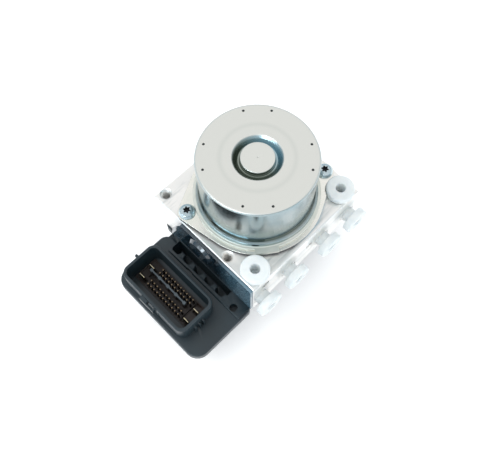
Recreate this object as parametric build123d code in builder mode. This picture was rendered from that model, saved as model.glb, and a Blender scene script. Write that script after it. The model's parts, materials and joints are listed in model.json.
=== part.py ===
from build123d import *
from math import radians, tan
import os

# Anti-lock brake modulator: hydraulic block, pump motor and electronic control unit.
# X runs across the block, from the plug socket towards the free side. Y runs away from the
# wheel-port face. Z runs up along the motor shaft. The origin is on the base plane, the
# underside of the control unit's cover, straight below the motor shaft. Millimetres.

os.makedirs("parts", exist_ok=True)

# ---- fits and gaps ----
running_fit = 0.05        # radial gap of a shaft or piston in its bore
press_gap = 0.02          # radial gap left between pieces pressed or glued together
easy_fit = 0.2            # gap round pieces that are dropped into place
contact_gap = 0.3         # gap where a moving piece rests against its stop

# ---- hydraulic block ----
block_length = 104.0      # along X
block_width = 98.0        # along Y
block_height = 38.0
block_edge = 1.0          # vertical corner radius
block_chamfer = 0.6

# ---- control unit stack, from the base plane up ----
cover_thickness = 2.5
tub_height = 23.5
flange_thickness = 7.0

# ---- hydraulic ports and their transport plugs ----
port_radius = 5.5
port_depth = 15.0
spot_face_radius = 7.0
spot_face_depth = 0.5
wheel_port_inset = 7.5    # outer ports' distance from the block's ends
wheel_port_inner_x = 17.0
wheel_port_drop = 25.5    # below the block's top
top_port_inset_x = 10.2
top_port_inset_y = 9.0
plug_head_radius = 10.0
plug_head_thickness = 5.8
plug_spigot_taper = 1.5
plug_head_bevel = 0.9
plug_spigot_length = 11.0
plug_hole_radius = 3.3
plug_hole_depth = 12.0
side_plug_neck = 5.0      # visible neck between the face and the head
top_plug_neck = 0.6

# ---- threaded holes that carry the modulator ----
mount_hole_radius = 3.3
mount_hole_depth = 14.0
mount_sink_radius = 4.4
mount_sink_angle = 90.0
mount_hole_inset_x = 6.8
mount_hole_inset_y = 4.7
side_hole_inset_x = 4.7
side_hole_y = -19.6

# ---- blind holes of the machining fixture in the wheel-port face ----
fixture_hole_radius = 2.8
fixture_hole_depth = 2.5
fixture_hole_inset_x = 12.0   # end hole, from the block's socket end
fixture_hole_x = 3.0          # middle hole
fixture_hole_drops = (10.0, 16.5)   # end and middle hole, below the block's top

# ---- pump motor ----
plate_thickness = 3.0
plate_radius = 47.0
plate_ear_radius = 6.8
motor_screw_angle = 153.4
plate_ear_gap = 0.3135    # ear's edge inside the block's end
motor_screw_radius = 2.5
motor_screw_length = 11.0
motor_screw_head_radius = 5.8
motor_screw_head_height = 3.6
motor_screw_head_bevel = 1.2
motor_screw_socket_radius = 1.75   # six-lobed drive: core, then the lobes
motor_screw_lobe_circle = 2.1
motor_screw_lobe_radius = 0.55
motor_screw_lobes = 6
motor_screw_socket_depth = 1.8
can_radius = 40.0
can_wall = 2.0
can_height = 47.7
can_top_round = 2.4
can_step = 0.8              # shoulder near the can's foot
can_step_height = 7.0
can_foot_radius = 44.3
can_foot_thickness = 2.0
can_tab_angle = 233.5
can_tab_width = 16.0
can_tab_reach = 2.6
boss_radius = 11.2
groove_radius = 16.6
groove_depth = 3.0
groove_slope = 0.8
boss_drop = 0.3
dimple_radius = 0.9
dimple_circle = 35.3
dimple_depth = 0.5
dimple_spread = 15.0
dimple_pairs = 4
hub_radius = 14.0
hub_depth = 6.5
hub_lip = 1.5
hub_lip_radius = 8.0
bearing_radius = 11.0
bearing_width = 7.0
rear_bearing_radius = 9.0
rear_bearing_width = 5.0
bearing_rail_share = 4.0    # each rail's share of the ring's width
bearing_shield_depth = 0.4
shaft_radius = 4.0
core_shaft_radius = 5.0
core_radius = 30.4
core_length = 23.0
core_above_plate = 16.0
slot_count = 12
slot_width = 4.6
slot_depth = 12.0
slot_mouth = 1.8
slot_rim = 1.5
winding_height = 3.0
winding_bore = 13.0
winding_radius = 29.0
commutator_radius = 12.0
commutator_height = 9.0
commutator_above_plate = 3.2
commutator_bars = 12
commutator_slit = 0.6
commutator_slit_depth = 1.2
magnet_thickness = 6.2
magnet_length = 27.0
magnet_angle = 132.0
magnet_count = 2
holder_thickness = 2.4
holder_radius = 35.0
holder_bore = 13.6
brush_width = 7.0
brush_height = 5.5
brush_length = 11.0
brush_box_wall = 1.2
brush_box_length = 17.0
brush_box_gap = 1.8
seal_radius = 14.95
seal_section = 0.75
column_y = -27.0
column_radius = 4.4
motor_blade_pitch = 3.6
motor_blade_width = 2.2
motor_blade_thickness = 0.8

# ---- eccentric pump ----
pump_drop = 12.0          # pump axis below the block's top
eccentricity = 1.0
eccentric_radius = 5.5
eccentric_height = 10.0
ring_radius = 9.0
ring_height = 8.0
ring_chamfer = 0.5
chamber_radius = 12.0
chamber_margin = 8.0      # chamber depth below the pump axis
piston_radius = 3.25
piston_length = 20.0
piston_collar_radius = 5.4
piston_collar_width = 1.6
piston_chamfer = 0.4
piston_guide_end = 27.0
pump_bore_radius = 9.0
pump_plug_length = 13.5
pump_plug_inset = 0.4
pump_plug_hex = 8.0
pump_plug_hex_depth = 5.0
pump_spring_radius = 4.4
pump_spring_wire = 0.7
pump_spring_turns = 3.0

# ---- low-pressure reservoirs on the far face ----
reservoir_x = 22.0
reservoir_rise = 17.0     # axis above the block's underside
reservoir_radius = 10.5
reservoir_depth = 26.0
reservoir_piston_length = 8.0
reservoir_cap_thickness = 3.0
reservoir_cap_crown = 1.4
reservoir_cap_rim = 2.5
reservoir_cap_taper = 40.0
reservoir_piston_recess = 4.0
reservoir_seal_start = 1.5
reservoir_seal_width = 1.6
reservoir_seal_depth = 1.2
reservoir_spring_radius = 7.2
reservoir_spring_wire = 1.0
reservoir_spring_turns = 3.0

# ---- solenoid valves ----
valve_columns = 4
inlet_row_y = -13.0
outlet_row_y = 10.0
valve_bore_radius = 5.3
valve_bore_depth = 15.0
valve_collar_radius = 7.2
valve_collar_height = 2.2
dome_radius = 3.25
dome_length = 19.0
dome_wall = 0.55
dome_bevel = 0.5
plunger_length = 12.0
plunger_travel = 0.3
coil_gap = 2.0            # between neighbouring coils
coil_end_gap = 1.0        # last coil to the end wall of its room
coil_height = 20.0
coil_corner = 4.0
coil_yoke_margin = 0.75   # yoke beyond the winding
coil_yoke_thickness = 2.4
coil_pin_size = 0.9
coil_pin_step = 6.0

# ---- control unit housing ----
wing_reach = 55.0         # beyond the block's end face
wing_back = 37.2
wing_edge_gap = 0.5       # wing's inner end beyond the block's face
wing_corner = 10.0
wing_back_corner = 7.0
wing_front_corner = 5.0
wing_edge_round = 1.2
notch_reach = 4.7
notch_y = 26.0
notch_top_y = 36.0
flange_left_reach = 1.2
flange_end_inset = 2.0
flange_side_inset = 4.0
flange_corner = 6.0
tub_wing_inset = 8.0
tub_end_inset = 6.5
tub_half_width = 36.5
tub_corner = 8.0
tub_wall = 2.5
floor_thickness = 4.0     # socket floor above the connector chamber
board_space = 8.5         # clear height above the cover for the circuit board
coil_room_inset = 6.0      # coil room's wall inside the block's end
room_corner = 5.0
web_reach = 16.0          # pocketed web between the connector and coil chambers
platform_reach = 14.0
platform_height = 1.4
platform_front_inset = 1.5
platform_back = 25.5
platform_round = 1.2
socket_inset = 19.7       # from the wing's outer edge to the socket's middle
socket_y = 0.0
socket_length = 63.4      # along Y
socket_width = 32.4       # along X
socket_corner = 6.5
socket_height = 17.0
socket_wall = 2.2
socket_depth = 21.0
socket_round_share = 0.4   # rim rounding as a share of the wall
socket_nub_offset = 0.3    # nub on the back end wall, from the socket's middle
socket_nub_width = 2.0
socket_nub_reach = 2.0
socket_nub_drop = 0.8
socket_nub_height = 4.0
key_rib_offset = -0.9       # keying ribs on the front end wall
key_rib_pitch = 3.6
key_rib_width = 1.2
key_rib_reach = 1.8
key_rib_height = 9.5
key_rib_count = 3
latch_loop_y = 1.0         # loop on the outer wall, for the plug's lever
latch_loop_width = 14.0
latch_loop_reach = 2.7
latch_loop_height = 5.0
latch_window_y = -1.4
latch_window_width = 6.4
latch_window_reach = 1.9
latch_groove_y = -8.0
latch_groove_width = 1.0
latch_groove_depth = 1.0
latch_groove_height = 13.0
edge_slot_y = 2.6          # slot in the platform's edge
edge_slot_length = 5.6
edge_slot_width = 1.1
edge_slot_depth = 3.0
pocket_count = 5
pocket_first_y = 21.0
pocket_pitch = 11.3
pocket_width = 8.0
pocket_reach = 11.3
pocket_depth = 20.0
pocket_round_share = 0.3   # corner radius at a pocket's blind end, as a share of its width
trench_reach = 7.6
trench_block_gap = 2.8
trench_front_y = -30.0
trench_back_y = 25.0
trench_overlap = 1.0
shield_thickness = 2.2
shield_gap = 0.15
shield_front_inset = 0.6
shield_top_drop = 0.7
shield_slope_y = (34.5, 28.0, 20.0)   # sloping back edge, from its foot to its top
shield_slope_z = 55.3
bulge_radius = 11.0
bulge_height = 2.6
bulge_taper = 35.0
shield_foot_gap = 0.02
round_hole_reach = 10.3
round_hole_inset = 9.6
round_hole_radius = 2.95
round_hole_depth = 7.0
ecu_screw_x = 31.0
ecu_screw_y = 41.0
ecu_screw_radius = 2.0
ecu_screw_depth = 8.0
ecu_screw_head_radius = 3.6
ecu_screw_head_height = 2.6
ecu_screw_socket_radius = 1.7
ecu_screw_socket_depth = 1.4
gasket_width = 1.8
gasket_thickness = 0.8
gasket_margin = 2.3
gasket_corner = 6.0
cover_overhang = 1.2
cover_lip_height = 1.6
cover_lip_width = 1.6
cover_post_radius = 3.0
cover_post_inset = 6.0

# ---- circuit board and terminals ----
board_thickness = 1.6
board_standoff = 3.5
board_margin = 1.0
power_blade_offsets = (-6.5, 3.0)     # from the carrier's middle, along X
power_blade_end_gap = 3.35
power_blade_width = 4.8
power_blade_thickness = 0.9
power_blade_bevel = 0.3
blade_tip_height = 5.0    # above the flange's top
blade_pit_width = 3.0     # pit in the carrier round each power blade
blade_pit_length = 7.2
blade_pit_depth = 2.2
pin_row_offsets = (-7.4, -4.2, 3.9, 7.0)
pin_count = 11
pin_pitch = 3.15
pin_size = 0.8
pin_tip_height = 4.0
pin_cell_size = 2.0       # square cell in the carrier round each signal pin
pin_cell_depth = 1.6
rib_offset = 1.0
rib_front_y = -14.3
rib_back_y = 22.4
rib_thickness = 1.1
rib_top = 38.0
rib_nub_count = 5
rib_nub_size = 2.2
rib_channel_width = 2.6   # channel along the rib, on the side away from the block
rib_channel_depth = 2.6
carrier_lip_width = 0.8
carrier_lip_height = 1.2
carrier_slot_y = 17.6     # slots between the pins and the power blades, from the carrier's middle
carrier_slot_width = 0.8
carrier_slot_depth = 1.6
carrier_end_gap = 0.55     # floor left between the carrier and the socket's walls
carrier_side_gap = 4.3
carrier_offset = 1.3       # towards the block from the socket's middle
controller_size = 20.0
controller_height = 1.8
controller_reach = 5.0
controller_y = -14.0
controller_chamfer = 0.3
driver_size = 12.0
driver_height = 1.5
driver_reach = 5.0
driver_y = 14.0
capacitor_radius = 5.0
capacitor_height = 12.0
capacitor_inset = 23.0    # from the tub's outer end
capacitor_y = 28.0

# ---- levels and places worked out from the values above ----
flange_bottom = cover_thickness + tub_height
flange_top = flange_bottom + flange_thickness
block_bottom = flange_top
block_top = block_bottom + block_height
plate_top = block_top + plate_thickness
can_top = plate_top + can_height
pump_z = block_top - pump_drop
wheel_port_z = block_top - wheel_port_drop
reservoir_z = block_bottom + reservoir_rise
half_length = block_length / 2
half_width = block_width / 2
screw_x = plate_ear_radius + plate_ear_gap - half_length
screw_y = -screw_x * tan(radians(180 - motor_screw_angle))
wheel_port_outer_x = half_length - wheel_port_inset
wheel_port_x = (-wheel_port_outer_x, -wheel_port_inner_x, wheel_port_inner_x, wheel_port_outer_x)
top_port_x = half_length - top_port_inset_x
top_port_y = top_port_inset_y - half_width
mount_hole_x = half_length - mount_hole_inset_x
mount_hole_y = half_width - mount_hole_inset_y
side_hole_x = half_length - side_hole_inset_x
can_inner_radius = can_radius - can_wall
magnet_outer = can_inner_radius - press_gap
magnet_inner = magnet_outer - magnet_thickness
core_bottom = plate_top + core_above_plate
core_top = core_bottom + core_length
commutator_bottom = plate_top + commutator_above_plate
brush_z = commutator_bottom + commutator_height / 2
brush_start = commutator_radius + contact_gap
socket_rim = flange_top + socket_height
socket_floor = socket_rim - socket_depth
wing_left = -half_length - wing_reach
wing_right = -half_length - wing_edge_gap
wing_front = -half_width
notch_x = -half_length - notch_reach
flange_left = -half_length - flange_left_reach
flange_right = half_length - flange_end_inset
flange_half_width = half_width - flange_side_inset
tub_left = wing_left + tub_wing_inset
tub_right = half_length - tub_end_inset
coil_room_left = coil_room_inset - half_length
web_left = -half_length - web_reach
platform_left = -half_length - platform_reach
platform_front = wing_front + platform_front_inset
socket_x = wing_left + socket_inset
pocket_near_x = -half_length - pocket_reach
trench_x = -half_length - trench_reach
trench_right = -half_length - trench_block_gap
round_hole_x = -half_length - round_hole_reach
round_hole_y = wing_front + round_hole_inset
shield_front_y = wing_front + shield_front_inset
shield_right = -half_length - shield_gap
shield_left = shield_right - shield_thickness
platform_right = shield_left - shield_foot_gap
shield_top = block_top - shield_top_drop
board_bottom = cover_thickness + board_standoff
board_top = board_bottom + board_thickness
tub_center_x = (tub_left + tub_right) / 2
tub_length = tub_right - tub_left
tub_width = 2 * tub_half_width
coil_room_right = tub_right - tub_wall
valve_pitch = (2 * (coil_room_right - coil_end_gap) + coil_gap) / valve_columns
valve_x = [valve_pitch * (column - (valve_columns - 1) / 2) for column in range(valve_columns)]
coil_size = valve_pitch - coil_gap
coil_winding_radius = coil_size / 2 - coil_yoke_margin
room_half_width = tub_half_width - tub_wall
carrier_x = socket_x + carrier_offset
carrier_length = socket_length - 2 * (socket_wall + carrier_end_gap)
carrier_width = socket_width - 2 * (socket_wall + carrier_side_gap)
power_blade_y = carrier_length / 2 - power_blade_end_gap - power_blade_width / 2
blade_tip = flange_top + blade_tip_height
pin_tip = flange_top + pin_tip_height

block_top_plane = Plane.XY.offset(block_top)
block_bottom_plane = Plane.XY.offset(block_bottom)
port_face = Plane((0, -half_width, wheel_port_z), x_dir=(1, 0, 0), z_dir=(0, -1, 0))
far_face = Plane((0, half_width, reservoir_z), x_dir=(1, 0, 0), z_dir=(0, 1, 0))


def side_plane(side, distance, height):
    """Plane square to X at a distance from the shaft, facing outwards on the given side."""
    return Plane((side * distance, 0, height), x_dir=(0, 1, 0), z_dir=(side, 0, 0))


# ---- hydraulic block ----
with BuildPart() as hydraulic_block:
    with BuildSketch(block_bottom_plane):
        RectangleRounded(block_length, block_width, block_edge)
    extrude(amount=block_height)
    chamfer(hydraulic_block.faces().sort_by(Axis.Z)[-1].edges(), block_chamfer)
    # stepped seat for the motor hub, with the eccentric's chamber below it
    with BuildSketch(block_top_plane):
        Circle(seal_radius + seal_section + press_gap)
    extrude(amount=-2 * seal_section, mode=Mode.SUBTRACT)
    with BuildSketch(block_top_plane):
        Circle(hub_radius + easy_fit)
    extrude(amount=-hub_depth - contact_gap, mode=Mode.SUBTRACT)
    with BuildSketch(block_top_plane):
        Circle(chamber_radius)
    extrude(amount=-pump_drop - chamber_margin, mode=Mode.SUBTRACT)
    # pump bore right through, opened out at both ends for the screw plugs
    with BuildSketch(Plane.YZ.offset(-half_length)):
        with Locations((0, pump_z)):
            Circle(piston_radius + running_fit)
    extrude(amount=block_length, mode=Mode.SUBTRACT)
    for side in (-1, 1):
        with BuildSketch(side_plane(side, half_length, pump_z)):
            Circle(pump_bore_radius)
        extrude(amount=piston_guide_end - half_length, mode=Mode.SUBTRACT)
    # wheel ports and master-cylinder ports, each with a shallow spot face
    with BuildSketch(port_face):
        with Locations([(x, 0) for x in wheel_port_x]):
            Circle(port_radius)
    extrude(amount=-port_depth, mode=Mode.SUBTRACT)
    with BuildSketch(port_face):
        with Locations([(x, 0) for x in wheel_port_x]):
            Circle(spot_face_radius)
    extrude(amount=-spot_face_depth, mode=Mode.SUBTRACT)
    with BuildSketch(block_top_plane):
        with Locations((-top_port_x, top_port_y), (top_port_x, top_port_y)):
            Circle(port_radius)
    extrude(amount=-port_depth, mode=Mode.SUBTRACT)
    # threaded holes in the top face
    with Locations(
        (-mount_hole_x, mount_hole_y, block_top),
        (mount_hole_x, mount_hole_y, block_top),
        (-side_hole_x, side_hole_y, block_top),
    ):
        CounterSinkHole(mount_hole_radius, mount_sink_radius, mount_hole_depth, mount_sink_angle)
    with Locations((screw_x, screw_y, block_top), (-screw_x, -screw_y, block_top)):
        Hole(motor_screw_radius + press_gap, motor_screw_length)
    # shallow fixture holes above the wheel ports
    with BuildSketch(Plane((0, -half_width, block_top), x_dir=(1, 0, 0), z_dir=(0, -1, 0))):
        with Locations(
            (fixture_hole_inset_x - half_length, -fixture_hole_drops[0]),
            (fixture_hole_x, -fixture_hole_drops[1]),
        ):
            Circle(fixture_hole_radius)
    extrude(amount=-fixture_hole_depth, mode=Mode.SUBTRACT)
    # passage for the motor's connector column
    with BuildSketch(block_bottom_plane):
        with Locations((0, column_y)):
            Circle(column_radius + easy_fit)
    extrude(amount=block_height, mode=Mode.SUBTRACT)
    # reservoir bores in the far face
    with BuildSketch(far_face):
        with Locations((-reservoir_x, 0), (reservoir_x, 0)):
            Circle(reservoir_radius)
    extrude(amount=-reservoir_depth, mode=Mode.SUBTRACT)
    # valve bores and screw threads in the underside
    with BuildSketch(block_bottom_plane):
        with Locations([(x, y) for x in valve_x for y in (inlet_row_y, outlet_row_y)]):
            Circle(valve_bore_radius)
    extrude(amount=valve_bore_depth, mode=Mode.SUBTRACT)
    with BuildSketch(block_bottom_plane):
        with Locations([(x, y) for x in valve_x for y in (inlet_row_y, outlet_row_y)]):
            Circle(valve_collar_radius + press_gap)
    extrude(amount=valve_collar_height, mode=Mode.SUBTRACT)
    with BuildSketch(block_bottom_plane):
        with GridLocations(2 * ecu_screw_x, 2 * ecu_screw_y, 2, 2):
            Circle(ecu_screw_radius + press_gap)
    extrude(amount=ecu_screw_depth, mode=Mode.SUBTRACT)
hydraulic_block.part.label = "hydraulic_block"
export_step(hydraulic_block.part, "parts/hydraulic_block.step")


# ---- transport plugs ----
def transport_plug(place, neck):
    """Plug standing on a port's sealing face: spigot below, neck, and a drilled round head."""
    spigot = port_radius - press_gap
    head_top = neck + plug_head_thickness
    hole_floor = head_top - plug_hole_depth
    with BuildPart() as plug:
        with BuildSketch(Plane.XZ) as section:
            with BuildLine():
                Polyline(
                    (0, -plug_spigot_length),
                    (spigot - plug_spigot_taper, -plug_spigot_length),
                    (spigot, -plug_spigot_length + plug_spigot_taper),
                    (spigot, neck),
                    (plug_head_radius, neck),
                    (plug_head_radius, head_top),
                    (plug_hole_radius, head_top),
                    (plug_hole_radius, hole_floor),
                    (0, hole_floor),
                    close=True,
                )
            make_face()
            chamfer(section.vertices().sort_by(Axis.X)[-2:], plug_head_bevel)
        revolve(axis=Axis.Z)
    return place.from_local_coords(plug.part)


for number, x in enumerate((-top_port_x, top_port_x), start=1):
    top_port_plug = transport_plug(Plane((x, top_port_y, block_top)), top_plug_neck)
    top_port_plug.label = f"top_port_plug_{number}"
    export_step(top_port_plug, f"parts/top_port_plug_{number}.step")

for number, x in enumerate(wheel_port_x, start=1):
    plug_plane = Plane((x, -half_width, wheel_port_z), x_dir=(1, 0, 0), z_dir=(0, -1, 0))
    side_port_plug = transport_plug(plug_plane, side_plug_neck)
    side_port_plug.label = f"side_port_plug_{number}"
    export_step(side_port_plug, f"parts/side_port_plug_{number}.step")

# ---- motor end plate ----
with BuildPart() as motor_end_plate:
    with BuildSketch(block_top_plane):
        Circle(plate_radius)
        with Locations((screw_x, screw_y), (-screw_x, -screw_y)):
            Circle(plate_ear_radius)
        make_hull()
        with Locations((-top_port_x, top_port_y), (top_port_x, top_port_y)):
            Circle(plug_head_radius + easy_fit, mode=Mode.SUBTRACT)
    extrude(amount=plate_thickness)
    with BuildSketch(block_top_plane):
        Circle(hub_radius)
    extrude(amount=-hub_depth)
    with BuildSketch(Plane.XY.offset(plate_top)):
        Circle(bearing_radius + press_gap)
    extrude(amount=hub_lip - hub_depth - plate_thickness, mode=Mode.SUBTRACT)
    with BuildSketch(block_top_plane):
        Circle(hub_lip_radius)
    extrude(amount=-hub_depth, mode=Mode.SUBTRACT)
    with BuildSketch(block_top_plane):
        with Locations((screw_x, screw_y), (-screw_x, -screw_y)):
            Circle(motor_screw_radius + easy_fit)
        with Locations((0, column_y)):
            Circle(column_radius + easy_fit)
    extrude(amount=plate_thickness, mode=Mode.SUBTRACT)
motor_end_plate.part.label = "motor_end_plate"
export_step(motor_end_plate.part, "parts/motor_end_plate.step")

with BuildPart() as motor_screws:
    with BuildSketch(Plane.XY.offset(plate_top)):
        with Locations((screw_x, screw_y), (-screw_x, -screw_y)):
            Circle(motor_screw_head_radius)
    extrude(amount=motor_screw_head_height)
    chamfer(motor_screws.faces().group_by(Axis.Z)[-1].edges(), motor_screw_head_bevel)
    with BuildSketch(Plane.XY.offset(plate_top)):
        with Locations((screw_x, screw_y), (-screw_x, -screw_y)):
            Circle(motor_screw_radius)
    extrude(amount=-plate_thickness - motor_screw_length + contact_gap)
    with BuildSketch(Plane.XY.offset(plate_top + motor_screw_head_height)):
        with Locations((screw_x, screw_y), (-screw_x, -screw_y)):
            Circle(motor_screw_socket_radius)
            with PolarLocations(motor_screw_lobe_circle, motor_screw_lobes):
                Circle(motor_screw_lobe_radius)
    extrude(amount=-motor_screw_socket_depth, mode=Mode.SUBTRACT)
motor_screws.part.label = "motor_screws"
export_step(motor_screws.part, "parts/motor_screws.step")

with BuildPart() as motor_seal:
    with BuildSketch(Plane.XZ):
        with Locations((hub_radius + press_gap + seal_section, block_top - seal_section)):
            RegularPolygon(seal_section - press_gap, 4, rotation=45)
    revolve(axis=Axis.Z)
motor_seal.part.label = "motor_seal"
export_step(motor_seal.part, "parts/motor_seal.step")

# ---- drawn motor can with its stamped ring groove ----
rear_pocket_top = can_top - boss_drop - can_wall
groove_floor = can_top - groove_depth
with BuildPart() as motor_can:
    with BuildSketch(Plane.XZ) as can_section:
        with BuildLine():
            Polyline(
                (can_inner_radius, plate_top),
                (can_foot_radius, plate_top),
                (can_foot_radius, plate_top + can_foot_thickness),
                (can_radius + can_step, plate_top + can_foot_thickness),
                (can_radius + can_step, plate_top + can_step_height),
                (can_radius, plate_top + can_step_height + can_step),
                (can_radius, can_top),
                (groove_radius, can_top),
                (groove_radius - groove_slope, groove_floor),
                (boss_radius + groove_slope, groove_floor),
                (boss_radius, can_top - boss_drop),
                (0, can_top - boss_drop),
                (0, rear_pocket_top),
                (rear_bearing_radius + press_gap, rear_pocket_top),
                (rear_bearing_radius + press_gap, rear_pocket_top - rear_bearing_width),
                (boss_radius + groove_slope, rear_pocket_top - rear_bearing_width),
                (boss_radius + groove_slope, groove_floor - can_wall),
                (groove_radius + can_wall, groove_floor - can_wall),
                (groove_radius + can_wall, can_top - can_wall),
                (can_inner_radius, can_top - can_wall),
                close=True,
            )
        make_face()
        outer_shoulder = can_section.vertices().group_by(Axis.Y)[-1].sort_by(Axis.X)[-1]
        fillet(outer_shoulder, can_top_round)
    revolve(axis=Axis.Z)
    # locating tab folded over the end plate's edge
    with BuildSketch(Plane.XY.offset(plate_top)) as tab:
        with Locations(Location((0, 0), can_tab_angle)):
            Rectangle(can_foot_radius + can_tab_reach, can_tab_width, align=(Align.MIN, Align.CENTER))
        Circle(can_radius, mode=Mode.SUBTRACT)
    extrude(amount=can_foot_thickness)
    # row of shallow dimples in pairs about the diagonals
    with BuildSketch(Plane.XY.offset(can_top)):
        for number in range(dimple_pairs):
            pair_middle = (number + 0.5) * 360 / dimple_pairs
            for spread in (-dimple_spread, dimple_spread):
                with Locations(Location((0, 0), pair_middle + spread)):
                    with Locations((dimple_circle, 0)):
                        Circle(dimple_radius)
    extrude(amount=-dimple_depth, mode=Mode.SUBTRACT)
motor_can.part.label = "motor_can"
export_step(motor_can.part, "parts/motor_can.step")


# ---- motor bearings ----
def ball_bearing(outer, width, floor):
    """Shielded bearing as one ring, with a shallow recess in both side faces."""
    inner = shaft_radius + running_fit
    rail = (outer - inner) / bearing_rail_share
    with BuildPart() as bearing:
        with BuildSketch(Plane.XY.offset(floor)):
            Circle(outer)
            Circle(inner, mode=Mode.SUBTRACT)
        extrude(amount=width)
        for shield, direction in ((floor, 1), (floor + width, -1)):
            with BuildSketch(Plane.XY.offset(shield)):
                Circle(outer - rail)
                Circle(inner + rail, mode=Mode.SUBTRACT)
            extrude(amount=direction * bearing_shield_depth, mode=Mode.SUBTRACT)
    return bearing.part


front_bearing = ball_bearing(bearing_radius, bearing_width, block_top - hub_depth + hub_lip)
front_bearing.label = "front_bearing"
export_step(front_bearing, "parts/front_bearing.step")

rear_bearing = ball_bearing(rear_bearing_radius, rear_bearing_width, rear_pocket_top - rear_bearing_width)
rear_bearing.label = "rear_bearing"
export_step(rear_bearing, "parts/rear_bearing.step")

# ---- armature ----
eccentric_bottom = pump_z - eccentric_height / 2
with BuildPart() as armature_shaft:
    with BuildSketch(Plane.XY.offset(eccentric_bottom)):
        Circle(shaft_radius)
    extrude(amount=rear_pocket_top - contact_gap - eccentric_bottom)
    with BuildSketch(Plane.XY.offset(core_bottom)):
        Circle(core_shaft_radius)
    extrude(amount=core_length)
    with BuildSketch(Plane.XY.offset(eccentric_bottom)):
        with Locations((eccentricity, 0)):
            Circle(eccentric_radius)
    extrude(amount=eccentric_height)
armature_shaft.part.label = "armature_shaft"
export_step(armature_shaft.part, "parts/armature_shaft.step")

with BuildPart() as armature_core:
    with BuildSketch(Plane.XY.offset(core_bottom)):
        Circle(core_radius)
        Circle(core_shaft_radius + press_gap, mode=Mode.SUBTRACT)
        with PolarLocations(core_radius - slot_rim - slot_depth / 2, slot_count):
            Rectangle(slot_depth, slot_width, mode=Mode.SUBTRACT)
        with PolarLocations(core_radius, slot_count):
            Rectangle(2 * (slot_rim + press_gap), slot_mouth, mode=Mode.SUBTRACT)
    extrude(amount=core_length)
armature_core.part.label = "armature_core"
export_step(armature_core.part, "parts/armature_core.step")

with BuildPart() as armature_windings:
    with BuildSketch(Plane.XY.offset(core_bottom)):
        with PolarLocations(core_radius - slot_rim - slot_depth / 2, slot_count):
            Rectangle(slot_depth - 2 * press_gap, slot_width - 2 * press_gap)
    extrude(amount=core_length)
    for end_plane, direction in ((core_bottom, -1), (core_top, 1)):
        with BuildSketch(Plane.XY.offset(end_plane)):
            Circle(winding_radius)
            Circle(winding_bore, mode=Mode.SUBTRACT)
        extrude(amount=direction * winding_height)
armature_windings.part.label = "armature_windings"
export_step(armature_windings.part, "parts/armature_windings.step")

with BuildPart() as commutator:
    with BuildSketch(Plane.XY.offset(commutator_bottom)):
        Circle(commutator_radius)
        Circle(shaft_radius + press_gap, mode=Mode.SUBTRACT)
        with PolarLocations(commutator_radius, commutator_bars):
            Rectangle(2 * commutator_slit_depth, commutator_slit, mode=Mode.SUBTRACT)
    extrude(amount=commutator_height)
commutator.part.label = "commutator"
export_step(commutator.part, "parts/commutator.step")

with BuildPart() as motor_magnets:
    with BuildSketch(Plane.XY.offset((core_bottom + core_top - magnet_length) / 2)):
        for number in range(magnet_count):
            magnet_start = (number + 0.5) * 360 / magnet_count - magnet_angle / 2
            with BuildLine():
                outer_arc = CenterArc((0, 0), magnet_outer, magnet_start, magnet_angle)
                inner_arc = CenterArc((0, 0), magnet_inner, magnet_start, magnet_angle)
                Line(outer_arc @ 0, inner_arc @ 0)
                Line(outer_arc @ 1, inner_arc @ 1)
            make_face()
    extrude(amount=magnet_length)
motor_magnets.part.label = "motor_magnets"
export_step(motor_magnets.part, "parts/motor_magnets.step")

# ---- brush gear ----
box_width = brush_width + 2 * (running_fit + brush_box_wall)
box_top = brush_z + brush_height / 2 + running_fit + brush_box_wall
box_start = commutator_radius + brush_box_gap
with BuildPart() as brush_holder:
    with BuildSketch(Plane.XY.offset(plate_top)):
        Circle(holder_radius)
        Circle(holder_bore, mode=Mode.SUBTRACT)
    extrude(amount=holder_thickness)
    for side in (-1, 1):
        box_middle = side * (box_start + brush_box_length / 2)
        tunnel_middle = side * (box_start + (brush_box_length - brush_box_wall) / 2)
        with BuildSketch(Plane.XY.offset(plate_top)):
            with Locations((box_middle, 0)):
                Rectangle(brush_box_length, box_width)
        extrude(amount=box_top - plate_top)
        with BuildSketch(Plane.XY.offset(brush_z - brush_height / 2 - running_fit)):
            with Locations((tunnel_middle, 0)):
                Rectangle(brush_box_length - brush_box_wall, brush_width + 2 * running_fit)
        extrude(amount=brush_height + 2 * running_fit, mode=Mode.SUBTRACT)
brush_holder.part.label = "brush_holder"
export_step(brush_holder.part, "parts/brush_holder.step")

for number, side in enumerate((-1, 1), start=1):
    with BuildPart() as brush:
        with BuildSketch(side_plane(side, commutator_radius - contact_gap, brush_z)):
            Rectangle(brush_width, brush_height)
        extrude(amount=brush_length)
        with BuildSketch(Plane.XY.offset(brush_z - brush_height / 2)):
            Circle(brush_start)
        extrude(amount=brush_height, mode=Mode.SUBTRACT)
    brush.part.label = f"brush_{number}"
    export_step(brush.part, f"parts/brush_{number}.step")

# ---- connector column that carries the motor's current down through the block ----
with BuildPart() as motor_terminals:
    with BuildSketch(block_bottom_plane):
        with Locations((0, column_y)):
            Circle(column_radius)
    extrude(amount=plate_top - block_bottom)
    with BuildSketch(block_bottom_plane):
        with Locations((-motor_blade_pitch / 2, column_y), (motor_blade_pitch / 2, column_y)):
            Rectangle(motor_blade_width, motor_blade_thickness)
    extrude(amount=board_top - block_bottom)
motor_terminals.part.label = "motor_terminals"
export_step(motor_terminals.part, "parts/motor_terminals.step")

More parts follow.
